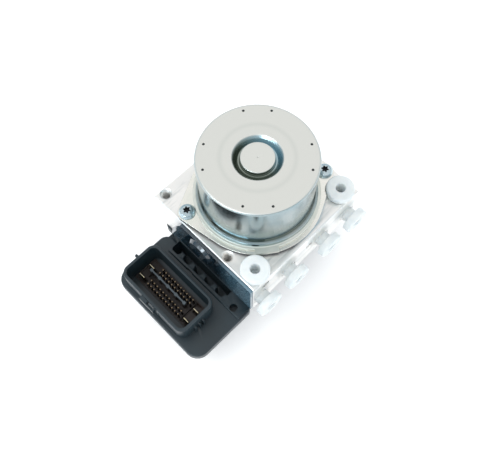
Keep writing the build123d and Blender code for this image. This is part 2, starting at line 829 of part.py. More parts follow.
# ---- eccentric pump ----
with BuildPart() as eccentric_ring:
    with BuildSketch(Plane.XY.offset(pump_z - ring_height / 2)):
        with Locations((eccentricity, 0)):
            Circle(ring_radius)
            Circle(eccentric_radius + running_fit, mode=Mode.SUBTRACT)
    extrude(amount=ring_height)
    chamfer(eccentric_ring.edges().filter_by(GeomType.CIRCLE).group_by(SortBy.RADIUS)[-1], ring_chamfer)
eccentric_ring.part.label = "eccentric_ring"
export_step(eccentric_ring.part, "parts/eccentric_ring.step")

piston_start = ring_radius + eccentricity + contact_gap
piston_end = piston_start + piston_length
plug_inner_end = half_length - pump_plug_inset - pump_plug_length
for number, side in enumerate((-1, 1), start=1):
    with BuildPart() as pump_piston:
        with BuildSketch(side_plane(side, piston_start, pump_z)):
            Circle(piston_radius)
        extrude(amount=piston_length)
        with BuildSketch(side_plane(side, piston_end, pump_z)):
            Circle(piston_collar_radius)
        extrude(amount=-piston_collar_width)
        chamfer(pump_piston.edges().sort_by(Axis.X, reverse=side > 0)[-1], piston_chamfer)
    pump_piston.part.label = f"pump_piston_{number}"
    export_step(pump_piston.part, f"parts/pump_piston_{number}.step")

    with BuildPart() as pump_plug:
        with BuildSketch(side_plane(side, plug_inner_end, pump_z)):
            Circle(pump_bore_radius - press_gap)
        extrude(amount=pump_plug_length)
        with BuildSketch(side_plane(side, plug_inner_end + pump_plug_length, pump_z)):
            RegularPolygon(pump_plug_hex / 2, 6, major_radius=False)
        extrude(amount=-pump_plug_hex_depth, mode=Mode.SUBTRACT)
    pump_plug.part.label = f"pump_plug_{number}"
    export_step(pump_plug.part, f"parts/pump_plug_{number}.step")

    with BuildPart() as pump_spring:
        coil_start = piston_end + pump_spring_wire / 2 + contact_gap / 2
        coil_length = plug_inner_end - piston_end - pump_spring_wire - contact_gap
        with BuildLine() as coil:
            Helix(
                coil_length / pump_spring_turns,
                coil_length,
                pump_spring_radius,
                center=(side * coil_start, 0, pump_z),
                direction=(side, 0, 0),
            )
        with BuildSketch(Plane(coil.line @ 0, z_dir=coil.line % 0)):
            Rectangle(pump_spring_wire, pump_spring_wire)
        sweep(path=coil.line, is_frenet=True)
    pump_spring.part.label = f"pump_spring_{number}"
    export_step(pump_spring.part, f"parts/pump_spring_{number}.step")

# ---- low-pressure reservoirs ----
reservoir_bottom = half_width - reservoir_depth
reservoir_spring_start = reservoir_bottom + contact_gap + reservoir_piston_length
reservoir_spring_end = half_width - reservoir_cap_thickness
for number, x in enumerate((-reservoir_x, reservoir_x), start=1):
    with BuildPart() as reservoir_piston:
        with BuildSketch(Plane((x, reservoir_bottom + contact_gap, reservoir_z), z_dir=(0, 1, 0))):
            Circle(reservoir_radius - running_fit)
        extrude(amount=reservoir_piston_length)
        with BuildSketch(Plane((x, reservoir_spring_start, reservoir_z), z_dir=(0, 1, 0))):
            Circle(reservoir_spring_radius + reservoir_spring_wire)
        extrude(amount=-reservoir_piston_recess, mode=Mode.SUBTRACT)
        with BuildSketch(Plane((x, reservoir_bottom + reservoir_seal_start, reservoir_z), z_dir=(0, 1, 0))):
            Circle(reservoir_radius)
            Circle(reservoir_radius - reservoir_seal_depth, mode=Mode.SUBTRACT)
        extrude(amount=reservoir_seal_width, mode=Mode.SUBTRACT)
    reservoir_piston.part.label = f"reservoir_piston_{number}"
    export_step(reservoir_piston.part, f"parts/reservoir_piston_{number}.step")

with BuildPart() as reservoir_caps:
    with BuildSketch(Plane((0, half_width, reservoir_z), x_dir=(1, 0, 0), z_dir=(0, 1, 0))):
        with Locations((-reservoir_x, 0), (reservoir_x, 0)):
            Circle(reservoir_radius - press_gap)
    extrude(amount=-reservoir_cap_thickness)
    with BuildSketch(Plane((0, half_width, reservoir_z), x_dir=(1, 0, 0), z_dir=(0, 1, 0))):
        with Locations((-reservoir_x, 0), (reservoir_x, 0)):
            Circle(reservoir_radius - reservoir_cap_rim)
    extrude(amount=reservoir_cap_crown, taper=reservoir_cap_taper)
reservoir_caps.part.label = "reservoir_caps"
export_step(reservoir_caps.part, "parts/reservoir_caps.step")

for number, x in enumerate((-reservoir_x, reservoir_x), start=1):
    with BuildPart() as reservoir_spring:
        coil_start = reservoir_spring_start - reservoir_piston_recess + reservoir_spring_wire / 2 + contact_gap / 2
        coil_length = reservoir_spring_end - coil_start - reservoir_spring_wire / 2 - contact_gap / 2
        with BuildLine() as coil:
            Helix(
                coil_length / reservoir_spring_turns,
                coil_length,
                reservoir_spring_radius,
                center=(x, coil_start, reservoir_z),
                direction=(0, 1, 0),
            )
        with BuildSketch(Plane(coil.line @ 0, z_dir=coil.line % 0)):
            Rectangle(reservoir_spring_wire, reservoir_spring_wire)
        sweep(path=coil.line, is_frenet=True)
    reservoir_spring.part.label = f"reservoir_spring_{number}"
    export_step(reservoir_spring.part, f"parts/reservoir_spring_{number}.step")


# ---- solenoid valves ----
def valve_cartridges(row_y):
    """One row of cartridges: body and collar in the block, thin dome hanging below it."""
    places = [(x, row_y) for x in valve_x]
    with BuildPart() as cartridges:
        with BuildSketch(block_bottom_plane):
            with Locations(places):
                Circle(valve_bore_radius - press_gap)
        extrude(amount=valve_bore_depth - contact_gap)
        with BuildSketch(block_bottom_plane):
            with Locations(places):
                Circle(valve_collar_radius)
        extrude(amount=valve_collar_height)
        with BuildSketch(block_bottom_plane):
            with Locations(places):
                Circle(dome_radius)
        extrude(amount=-dome_length)
        chamfer(cartridges.faces().group_by(Axis.Z)[0].edges(), dome_bevel)
        with BuildSketch(Plane.XY.offset(dome_floor)):
            with Locations(places):
                Circle(plunger_radius + running_fit)
        extrude(amount=plunger_length + plunger_travel + 2 * running_fit, mode=Mode.SUBTRACT)
    return cartridges.part


def valve_plunger(x, y, bottom):
    """Magnetic plunger with its needle seat, standing in a cartridge's dome."""
    with BuildPart() as plunger:
        with BuildSketch(Plane.XY.offset(bottom)):
            with Locations((x, y)):
                Circle(plunger_radius)
        extrude(amount=plunger_length)
        chamfer(plunger.faces().sort_by(Axis.Z)[0].edges(), dome_bevel)
    return plunger.part


def valve_coils(row_y):
    """One row of rounded square coils round the domes, each with two pins down to the board."""
    places = [(x, row_y) for x in valve_x]
    coil_top = block_bottom - contact_gap
    with BuildPart() as coils:
        with BuildSketch(Plane.XY.offset(coil_top)) as yoke:
            with Locations(places):
                Rectangle(coil_size, coil_size)
            chamfer(yoke.vertices(), coil_corner)
        extrude(amount=-coil_yoke_thickness)
        with BuildSketch(Plane.XY.offset(coil_top)):
            with Locations(places):
                Circle(coil_winding_radius)
        extrude(amount=-coil_height)
        with BuildSketch(Plane.XY.offset(coil_top - coil_height)) as yoke:
            with Locations(places):
                Rectangle(coil_size, coil_size)
            chamfer(yoke.vertices(), coil_corner)
        extrude(amount=coil_yoke_thickness)
        with BuildSketch(Plane.XY.offset(coil_top)):
            with Locations(places):
                Circle(dome_radius + easy_fit)
        extrude(amount=-coil_height, mode=Mode.SUBTRACT)
        with BuildSketch(Plane.XY.offset(board_top)):
            with Locations([(x + step, y) for x, y in places for step in (-coil_pin_step, coil_pin_step)]):
                Rectangle(coil_pin_size, coil_pin_size)
        extrude(amount=coil_top - coil_height - board_top)
    return coils.part


dome_floor = block_bottom - dome_length + dome_wall
plunger_radius = dome_radius - dome_wall - running_fit
valve_rows = (
    ("inlet", inlet_row_y, dome_floor + running_fit),
    ("outlet", outlet_row_y, dome_floor + running_fit + plunger_travel),
)
for name, row_y, plunger_bottom in valve_rows:
    valves = valve_cartridges(row_y)
    valves.label = f"{name}_valves"
    export_step(valves, f"parts/{name}_valves.step")
    coils = valve_coils(row_y)
    coils.label = f"{name}_coils"
    export_step(coils, f"parts/{name}_coils.step")
    for number, x in enumerate(valve_x, start=1):
        plunger = valve_plunger(x, row_y, plunger_bottom)
        plunger.label = f"{name}_plunger_{number}"
        export_step(plunger, f"parts/{name}_plunger_{number}.step")

# ---- control unit housing ----
room_length = coil_room_right - coil_room_left
room_x = (coil_room_left + coil_room_right) / 2
chamber_left = tub_left + tub_wall
chamber_length = web_left - chamber_left
board_room_length = coil_room_right - chamber_left
gasket_outer_length = room_length + 2 * (gasket_margin + gasket_width)
gasket_outer_width = 2 * (room_half_width + gasket_margin + gasket_width)
trench_length = trench_back_y - trench_front_y
trench_middle_y = (trench_back_y + trench_front_y) / 2
with BuildPart() as ecu_housing:
    # tub with rounded corners
    with BuildSketch(Plane.XY.offset(cover_thickness)):
        with Locations((tub_center_x, 0)):
            RectangleRounded(tub_length, tub_width, tub_corner)
    extrude(amount=tub_height)
    # flange: the wing that carries the plug socket, and the seat under the block
    with BuildSketch(Plane.XY.offset(flange_bottom)) as wing_outline:
        with BuildLine():
            Polyline(
                (wing_left, wing_front),
                (wing_right, wing_front),
                (wing_right, notch_top_y),
                (notch_x, notch_y),
                (notch_x, wing_back),
                (wing_left, wing_back),
                close=True,
            )
        make_face()
        fillet(wing_outline.vertices().group_by(Axis.X)[0], wing_corner)
        fillet(wing_outline.vertices().filter_by(lambda v: v.Y > notch_top_y and v.X > socket_x), wing_back_corner)
        fillet(wing_outline.vertices().group_by(Axis.Y)[0].sort_by(Axis.X)[-1], wing_front_corner)
    extrude(amount=flange_thickness)
    wing_top = ecu_housing.faces().sort_by(Axis.Z)[-1]
    fillet(wing_top.edges().filter_by(lambda e: e.center().X < notch_x - wing_edge_gap), wing_edge_round)
    with BuildSketch(Plane.XY.offset(flange_bottom)):
        with Locations(((flange_left + flange_right) / 2, 0)):
            RectangleRounded(flange_right - flange_left, 2 * flange_half_width, flange_corner)
    extrude(amount=flange_thickness)
    # raised platform beside the block
    with BuildSketch(Plane.XY.offset(flange_top)):
        with Locations(((platform_left + platform_right) / 2, (platform_front + platform_back) / 2)):
            Rectangle(platform_right - platform_left, platform_back - platform_front)
    extrude(amount=platform_height)
    fillet(ecu_housing.faces().group_by(Axis.Z)[-1].edges().group_by(Axis.X)[0], platform_round)
    # plug socket
    with BuildSketch(Plane.XY.offset(flange_top)):
        with Locations((socket_x, socket_y)):
            RectangleRounded(socket_width, socket_length, socket_corner)
    extrude(amount=socket_height)
    fillet(ecu_housing.faces().group_by(Axis.Z)[-1].edges(), socket_wall * socket_round_share)
    with BuildSketch(Plane.XY.offset(socket_rim)):
        with Locations((socket_x, socket_y)):
            RectangleRounded(
                socket_width - 2 * socket_wall,
                socket_length - 2 * socket_wall,
                socket_corner - socket_wall,
            )
    extrude(amount=-socket_depth, mode=Mode.SUBTRACT)
    # nub on the socket's back end wall, keying ribs on its front end wall
    with BuildSketch(Plane.XY.offset(socket_rim - socket_nub_drop)):
        with Locations((socket_x + socket_nub_offset, socket_y + socket_length / 2)):
            Rectangle(socket_nub_width, socket_nub_reach, align=(Align.CENTER, Align.MIN))
    extrude(amount=-socket_nub_height)
    with BuildSketch(Plane.XY.offset(flange_top)):
        with Locations((socket_x + key_rib_offset, socket_y - socket_length / 2)):
            with GridLocations(key_rib_pitch, 0, key_rib_count, 1):
                Rectangle(key_rib_width, key_rib_reach, align=(Align.CENTER, Align.MAX))
    extrude(amount=key_rib_height)
    # loop and groove on the outer wall, where the plug's lever takes hold
    with BuildSketch(Plane.XY.offset(socket_rim)):
        with Locations((socket_x - socket_width / 2, latch_loop_y)):
            Rectangle(latch_loop_reach, latch_loop_width, align=(Align.MAX, Align.CENTER))
        with Locations((socket_x - socket_width / 2, latch_window_y)):
            Rectangle(
                latch_window_reach,
                latch_window_width,
                align=(Align.MAX, Align.CENTER),
                mode=Mode.SUBTRACT,
            )
    extrude(amount=-latch_loop_height)
    with BuildSketch(Plane.XY.offset(flange_top)):
        with Locations((socket_x - socket_width / 2, latch_groove_y)):
            Rectangle(latch_groove_depth, latch_groove_width, align=(Align.MIN, Align.CENTER))
    extrude(amount=latch_groove_height, mode=Mode.SUBTRACT)
    # slot in the platform's edge
    with BuildSketch(Plane.XY.offset(flange_top + platform_height)):
        with Locations((platform_left, edge_slot_y)):
            Rectangle(edge_slot_width, edge_slot_length, align=(Align.MIN, Align.CENTER))
    extrude(amount=-edge_slot_depth, mode=Mode.SUBTRACT)
    # rooms below: connector chamber, coil room open to the block, and the board's room
    with BuildSketch(Plane.XY.offset(cover_thickness)):
        with Locations((chamber_left + chamber_length / 2, 0)):
            RectangleRounded(chamber_length, 2 * room_half_width, room_corner)
        with Locations((room_x, 0)):
            RectangleRounded(room_length, 2 * room_half_width, room_corner)
    extrude(amount=socket_floor - floor_thickness - cover_thickness, mode=Mode.SUBTRACT)
    with BuildSketch(Plane.XY.offset(cover_thickness)):
        with Locations((room_x, 0)):
            RectangleRounded(room_length, 2 * room_half_width, room_corner)
    extrude(amount=flange_top - cover_thickness, mode=Mode.SUBTRACT)
    with BuildSketch(Plane.XY.offset(cover_thickness)):
        with Locations((chamber_left + board_room_length / 2, 0)):
            RectangleRounded(board_room_length, 2 * room_half_width, room_corner)
    extrude(amount=board_space, mode=Mode.SUBTRACT)
    # seat for the terminal carrier in the socket's floor
    with BuildSketch(Plane.XY.offset(socket_floor)):
        with Locations((carrier_x, socket_y)):
            Rectangle(carrier_width + 2 * press_gap, carrier_length + 2 * press_gap)
    extrude(amount=-floor_thickness, mode=Mode.SUBTRACT)
    # comb of pockets opening into the trench beside the block
    with BuildSketch(Plane.XY.offset(flange_top + platform_height)) as comb:
        for number in range(pocket_count):
            with Locations((pocket_near_x, pocket_first_y - number * pocket_pitch)):
                Rectangle(
                    trench_x - pocket_near_x + trench_overlap,
                    pocket_width,
                    align=(Align.MIN, Align.CENTER),
                )
        fillet(comb.vertices().group_by(Axis.X)[0], pocket_width * pocket_round_share)
        with Locations((trench_x, trench_middle_y)):
            Rectangle(trench_right - trench_x, trench_length, align=(Align.MIN, Align.CENTER))
    extrude(amount=-pocket_depth, mode=Mode.SUBTRACT)
    with BuildSketch(Plane.XY.offset(flange_top + platform_height)):
        with Locations((round_hole_x, round_hole_y)):
            Circle(round_hole_radius)
    extrude(amount=-round_hole_depth, mode=Mode.SUBTRACT)
    # gasket groove and screw holes under the block
    with BuildSketch(block_bottom_plane):
        with Locations((room_x, 0)):
            RectangleRounded(gasket_outer_length, gasket_outer_width, gasket_corner + gasket_width)
            RectangleRounded(
                gasket_outer_length - 2 * gasket_width,
                gasket_outer_width - 2 * gasket_width,
                gasket_corner,
                mode=Mode.SUBTRACT,
            )
    extrude(amount=-gasket_thickness, mode=Mode.SUBTRACT)
    with BuildSketch(block_bottom_plane):
        with GridLocations(2 * ecu_screw_x, 2 * ecu_screw_y, 2, 2):
            Circle(ecu_screw_radius + easy_fit)
    extrude(amount=-flange_thickness, mode=Mode.SUBTRACT)
ecu_housing.part.label = "ecu_housing"
export_step(ecu_housing.part, "parts/ecu_housing.step")

# ---- shield wall standing on the flange along the block's face, bulged over the pump plug ----
with BuildPart() as side_shield:
    with BuildSketch(Plane.YZ.offset(shield_left)):
        with BuildLine():
            Line((shield_front_y, flange_top), (shield_front_y, shield_top))
            Line((shield_front_y, shield_top), (shield_slope_y[-1], shield_top))
            ThreePointArc(
                (shield_slope_y[-1], shield_top),
                (shield_slope_y[1], shield_slope_z),
                (shield_slope_y[0], flange_top),
            )
            Line((shield_slope_y[0], flange_top), (shield_front_y, flange_top))
        make_face()
    extrude(amount=shield_thickness)
    with BuildSketch(Plane((shield_left, 0, pump_z), x_dir=(0, 1, 0), z_dir=(-1, 0, 0))):
        Circle(bulge_radius)
    extrude(amount=bulge_height, taper=bulge_taper)
side_shield.part.label = "side_shield"
export_step(side_shield.part, "parts/side_shield.step")

# ---- gasket, screws and cover ----
with BuildPart() as ecu_gasket:
    with BuildSketch(Plane.XY.offset(block_bottom - gasket_thickness)):
        with Locations((room_x, 0)):
            RectangleRounded(
                gasket_outer_length - 2 * press_gap,
                gasket_outer_width - 2 * press_gap,
                gasket_corner + gasket_width,
            )
            RectangleRounded(
                gasket_outer_length - 2 * (gasket_width - press_gap),
                gasket_outer_width - 2 * (gasket_width - press_gap),
                gasket_corner,
                mode=Mode.SUBTRACT,
            )
    extrude(amount=gasket_thickness)
ecu_gasket.part.label = "ecu_gasket"
export_step(ecu_gasket.part, "parts/ecu_gasket.step")

with BuildPart() as ecu_screws:
    with BuildSketch(Plane.XY.offset(flange_bottom)):
        with GridLocations(2 * ecu_screw_x, 2 * ecu_screw_y, 2, 2):
            Circle(ecu_screw_head_radius)
    extrude(amount=-ecu_screw_head_height)
    with BuildSketch(Plane.XY.offset(flange_bottom)):
        with GridLocations(2 * ecu_screw_x, 2 * ecu_screw_y, 2, 2):
            Circle(ecu_screw_radius)
    extrude(amount=flange_thickness + ecu_screw_depth - contact_gap)
    with BuildSketch(Plane.XY.offset(flange_bottom - ecu_screw_head_height)):
        with GridLocations(2 * ecu_screw_x, 2 * ecu_screw_y, 2, 2):
            RegularPolygon(ecu_screw_socket_radius, 6)
    extrude(amount=ecu_screw_socket_depth, mode=Mode.SUBTRACT)
ecu_screws.part.label = "ecu_screws"
export_step(ecu_screws.part, "parts/ecu_screws.step")

board_x = chamber_left + board_room_length / 2
post_x = board_room_length / 2 - cover_post_inset
post_y = room_half_width - cover_post_inset
with BuildPart() as ecu_cover:
    with BuildSketch():
        with Locations((tub_center_x, 0)):
            RectangleRounded(
                tub_length + 2 * cover_overhang,
                tub_width + 2 * cover_overhang,
                tub_corner + cover_overhang,
            )
    extrude(amount=cover_thickness)
    chamfer(ecu_cover.faces().sort_by(Axis.Z)[0].edges(), cover_overhang / 2)
    with BuildSketch(Plane.XY.offset(cover_thickness)):
        with Locations((board_x, 0)):
            RectangleRounded(
                board_room_length - 2 * easy_fit,
                2 * (room_half_width - easy_fit),
                room_corner,
            )
            RectangleRounded(
                board_room_length - 2 * (easy_fit + cover_lip_width),
                2 * (room_half_width - easy_fit - cover_lip_width),
                room_corner - cover_lip_width,
                mode=Mode.SUBTRACT,
            )
    extrude(amount=cover_lip_height)
    with BuildSketch(Plane.XY.offset(cover_thickness)):
        with Locations((board_x, 0)):
            with GridLocations(2 * post_x, 2 * post_y, 2, 2):
                Circle(cover_post_radius)
    extrude(amount=board_standoff)
ecu_cover.part.label = "ecu_cover"
export_step(ecu_cover.part, "parts/ecu_cover.step")

# ---- circuit board ----
with BuildPart() as circuit_board:
    with BuildSketch(Plane.XY.offset(board_bottom)):
        with Locations((board_x, 0)):
            RectangleRounded(
                board_room_length - 2 * board_margin,
                2 * (room_half_width - board_margin),
                room_corner,
            )
    extrude(amount=board_thickness)
circuit_board.part.label = "circuit_board"
export_step(circuit_board.part, "parts/circuit_board.step")

with BuildPart() as microcontroller:
    with BuildSketch(Plane.XY.offset(board_top)):
        with Locations((-half_length - controller_reach, controller_y)):
            Rectangle(controller_size, controller_size)
    extrude(amount=controller_height)
    chamfer(microcontroller.faces().sort_by(Axis.Z)[-1].edges(), controller_chamfer)
microcontroller.part.label = "microcontroller"
export_step(microcontroller.part, "parts/microcontroller.step")

with BuildPart() as valve_driver:
    with BuildSketch(Plane.XY.offset(board_top)):
        with Locations((-half_length - driver_reach, driver_y)):
            Rectangle(driver_size, driver_size)
    extrude(amount=driver_height)
    chamfer(valve_driver.faces().sort_by(Axis.Z)[-1].edges(), controller_chamfer)
valve_driver.part.label = "valve_driver"
export_step(valve_driver.part, "parts/valve_driver.step")

capacitor_x = tub_left + capacitor_inset
with BuildPart() as capacitors:
    with BuildSketch(Plane.XY.offset(board_top)):
        with Locations((capacitor_x, -capacitor_y), (capacitor_x, capacitor_y)):
            Circle(capacitor_radius)
    extrude(amount=capacitor_height)
    chamfer(capacitors.faces().group_by(Axis.Z)[-1].edges(), controller_chamfer)
capacitors.part.label = "capacitors"
export_step(capacitors.part, "parts/capacitors.step")

# ---- plug socket's terminals and the carrier that holds them ----
blade_places = [
    (carrier_x + offset, socket_y + side * power_blade_y) for offset in power_blade_offsets for side in (-1, 1)
]
pin_middle = (pin_count - 1) / 2
rib_y = (rib_front_y + rib_back_y) / 2
rib_length = rib_back_y - rib_front_y
pin_places = [
    (carrier_x + offset, socket_y + (row - pin_middle) * pin_pitch)
    for offset in pin_row_offsets
    for row in range(pin_count)
]
with BuildPart() as terminal_carrier:
    with BuildSketch(Plane.XY.offset(socket_floor - floor_thickness)):
        with Locations((carrier_x, socket_y)):
            Rectangle(carrier_width, carrier_length)
    extrude(amount=floor_thickness)
    # lip round the top
    with BuildSketch(Plane.XY.offset(socket_floor)):
        with Locations((carrier_x, socket_y)):
            Rectangle(carrier_width, carrier_length)
            Rectangle(
                carrier_width - 2 * carrier_lip_width,
                carrier_length - 2 * carrier_lip_width,
                mode=Mode.SUBTRACT,
            )
    extrude(amount=carrier_lip_height)
    # rib down the middle with its cross nubs
    with BuildSketch(Plane.XY.offset(socket_floor)):
        with Locations((carrier_x + rib_offset, rib_y)):
            Rectangle(rib_thickness, rib_length)
            with GridLocations(0, (rib_length - rib_nub_size) / (rib_nub_count - 1), 1, rib_nub_count):
                Rectangle(rib_nub_size, rib_nub_size)
    extrude(amount=rib_top - socket_floor)
    # channel along the rib, cells round the pins, pits round the blades and slots between them
    with BuildSketch(Plane.XY.offset(socket_floor)):
        with Locations((carrier_x + rib_offset - rib_nub_size / 2, rib_y)):
            Rectangle(rib_channel_width, rib_length, align=(Align.MAX, Align.CENTER))
    extrude(amount=-rib_channel_depth, mode=Mode.SUBTRACT)
    with BuildSketch(Plane.XY.offset(socket_floor)):
        with Locations(pin_places):
            Rectangle(pin_cell_size, pin_cell_size)
    extrude(amount=-pin_cell_depth, mode=Mode.SUBTRACT)
    with BuildSketch(Plane.XY.offset(socket_floor)):
        with Locations(blade_places):
            Rectangle(blade_pit_width, blade_pit_length)
    extrude(amount=-blade_pit_depth, mode=Mode.SUBTRACT)
    with BuildSketch(Plane.XY.offset(socket_floor)):
        with Locations((carrier_x, socket_y)):
            with GridLocations(0, 2 * carrier_slot_y, 1, 2):
                Rectangle(carrier_width - 2 * carrier_lip_width, carrier_slot_width)
    extrude(amount=-carrier_slot_depth, mode=Mode.SUBTRACT)
    # passages for the terminals
    with BuildSketch(Plane.XY.offset(socket_floor)):
        with Locations(blade_places):
            Rectangle(power_blade_thickness + 2 * press_gap, power_blade_width + 2 * press_gap)
        with Locations(pin_places):
            Rectangle(pin_size + 2 * press_gap, pin_size + 2 * press_gap)
    extrude(amount=-floor_thickness, mode=Mode.SUBTRACT)
terminal_carrier.part.label = "terminal_carrier"
export_step(terminal_carrier.part, "parts/terminal_carrier.step")

with BuildPart() as power_terminals:
    with BuildSketch(Plane.XY.offset(board_top)):
        with Locations(blade_places):
            Rectangle(power_blade_thickness, power_blade_width)
    extrude(amount=blade_tip - board_top)
    chamfer(power_terminals.faces().group_by(Axis.Z)[-1].edges().filter_by(Axis.Y), power_blade_bevel)
power_terminals.part.label = "power_terminals"
export_step(power_terminals.part, "parts/power_terminals.step")

with BuildPart() as signal_terminals:
    with BuildSketch(Plane.XY.offset(board_top)):
        with Locations(pin_places):
            Rectangle(pin_size, pin_size)
    extrude(amount=pin_tip - board_top)
signal_terminals.part.label = "signal_terminals"
export_step(signal_terminals.part, "parts/signal_terminals.step")
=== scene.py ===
import json
import math

import bmesh
import bpy
from mathutils import Matrix, Vector


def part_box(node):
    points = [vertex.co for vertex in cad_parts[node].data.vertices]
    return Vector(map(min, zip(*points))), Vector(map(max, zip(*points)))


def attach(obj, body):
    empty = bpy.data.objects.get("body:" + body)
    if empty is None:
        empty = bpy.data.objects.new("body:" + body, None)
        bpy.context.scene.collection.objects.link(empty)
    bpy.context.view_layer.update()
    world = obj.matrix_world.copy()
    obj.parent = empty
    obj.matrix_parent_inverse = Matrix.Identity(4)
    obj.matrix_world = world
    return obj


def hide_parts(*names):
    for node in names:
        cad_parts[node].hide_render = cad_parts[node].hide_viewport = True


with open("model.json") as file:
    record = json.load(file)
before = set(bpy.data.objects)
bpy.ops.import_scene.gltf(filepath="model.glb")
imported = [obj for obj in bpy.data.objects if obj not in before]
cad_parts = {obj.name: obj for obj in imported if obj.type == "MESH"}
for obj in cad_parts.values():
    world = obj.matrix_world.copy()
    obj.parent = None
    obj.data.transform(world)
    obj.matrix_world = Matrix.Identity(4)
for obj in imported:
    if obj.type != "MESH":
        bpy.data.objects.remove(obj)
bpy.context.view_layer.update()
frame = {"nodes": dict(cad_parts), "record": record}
nodes = frame["nodes"]
mm = 0.001
print("frame loaded:", len(nodes), "nodes")


# helpers shared by every finish
def toLinear(hexColour):
    channels = [int(hexColour[i : i + 2], 16) / 255 for i in (1, 3, 5)]
    linear = [c / 12.92 if c <= 0.04045 else ((c + 0.055) / 1.055) ** 2.4 for c in channels]
    return (*linear, 1.0)


def setSockets(tree, node, sockets):
    # each socket takes a plain value or the output of another node
    for socket, value in sockets.items():
        if isinstance(value, bpy.types.NodeSocket):
            tree.links.new(value, node.inputs[socket])
        else:
            node.inputs[socket].default_value = value


def addNode(tree, kind, sockets=None, stops=(), **settings):
    # stops are the places and colours of a colour ramp
    node = tree.nodes.new(kind)
    for name, value in settings.items():
        setattr(node, name, value)
    setSockets(tree, node, sockets or {})
    while stops and len(node.color_ramp.elements) < len(stops):
        node.color_ramp.elements.new(0.5)
    for i, (place, colour) in enumerate(stops):
        node.color_ramp.elements[i].position = place
        node.color_ramp.elements[i].color = toLinear(colour)
    return node


# a mix of colours takes its share at socket 0 and its two colours at 6 and 7, and gives output 2
mixed = dict(data_type="RGBA")
multiplied = dict(data_type="RGBA", blend_type="MULTIPLY")


def startMaterial(name, colour, metallic, roughness, sockets=None):
    material = bpy.data.materials.new(name)
    material.use_nodes = True
    tree = material.node_tree
    tree.nodes.clear()
    surface = addNode(tree, "ShaderNodeBsdfPrincipled", sockets)
    setSockets(tree, surface, {"Base Color": toLinear(colour), "Metallic": metallic, "Roughness": roughness})
    addNode(tree, "ShaderNodeOutputMaterial", {"Surface": surface.outputs[0]})
    return material, tree, surface


def patternNoise(tree, sizeMm, detail=3.0, stretch=(1, 1, 1)):
    # object coordinates are metres, so a pattern of sizeMm needs 1000 / sizeMm cells to the metre
    place = addNode(tree, "ShaderNodeTexCoord").outputs["Object"]
    cells = addNode(tree, "ShaderNodeMapping", {"Vector": place, "Scale": Vector(stretch) * (1000 / sizeMm)})
    noise = addNode(tree, "ShaderNodeTexNoise", {"Vector": cells.outputs[0], "Scale": 1.0, "Detail": detail})
    return noise.outputs["Fac"]


def shareAlong(tree, axis, low, high, atLow=0.0, atHigh=1.0):
    # how far a point lies between two levels along x, y or z, in mm
    place = addNode(tree, "ShaderNodeTexCoord").outputs["Object"]
    level = addNode(tree, "ShaderNodeSeparateXYZ", {0: place}).outputs["xyz".index(axis)]
    sockets = {"Value": level, "From Min": low * mm, "From Max": high * mm, "To Min": atLow, "To Max": atHigh}
    return addNode(tree, "ShaderNodeMapRange", sockets).outputs[0]


def shareOutwards(tree, low, high, atLow=0.0, atHigh=1.0):
    # how far a point lies between two distances from the motor shaft, in mm
    place = addNode(tree, "ShaderNodeTexCoord").outputs["Object"]
    parts = addNode(tree, "ShaderNodeSeparateXYZ", {0: place})
    flat = addNode(tree, "ShaderNodeCombineXYZ", {0: parts.outputs[0], 1: parts.outputs[1]})
    reach = addNode(tree, "ShaderNodeVectorMath", {0: flat.outputs[0]}, operation="LENGTH").outputs["Value"]
    sockets = {"Value": reach, "From Min": low * mm, "From Max": high * mm, "To Min": atLow, "To Max": atHigh}
    return addNode(tree, "ShaderNodeMapRange", sockets).outputs[0]


def finishSurface(tree, surface, colour=None, roughness=None, height=None, reliefMm=0.0, strength=1.0):
    # wears a colour pattern, a (pattern, low, high) roughness and a relief, where they are given
    sockets = {}
    if colour is not None:
        sockets["Base Color"] = colour
    if roughness is not None:
        pattern, low, high = roughness
        spread = addNode(tree, "ShaderNodeMapRange", {"Value": pattern, "To Min": low, "To Max": high})
        sockets["Roughness"] = spread.outputs[0]
    if height is not None:
        relief = {"Height": height, "Distance": reliefMm * mm, "Strength": strength}
        sockets["Normal"] = addNode(tree, "ShaderNodeBump", relief).outputs[0]
    setSockets(tree, surface, sockets)


# metals
blockFinish = dict(
    colour="#F0F1F1", plain=("#EEEFEE", "#FBF9F5"), scuff="#E6E9EA", speck="#A5AAAC", roughness=(0.30, 0.44),
    cloudMm=16.0, scuffMm=5.0, speckMm=1.3, waveMm=20.1, waveDepthMm=0.012,
)


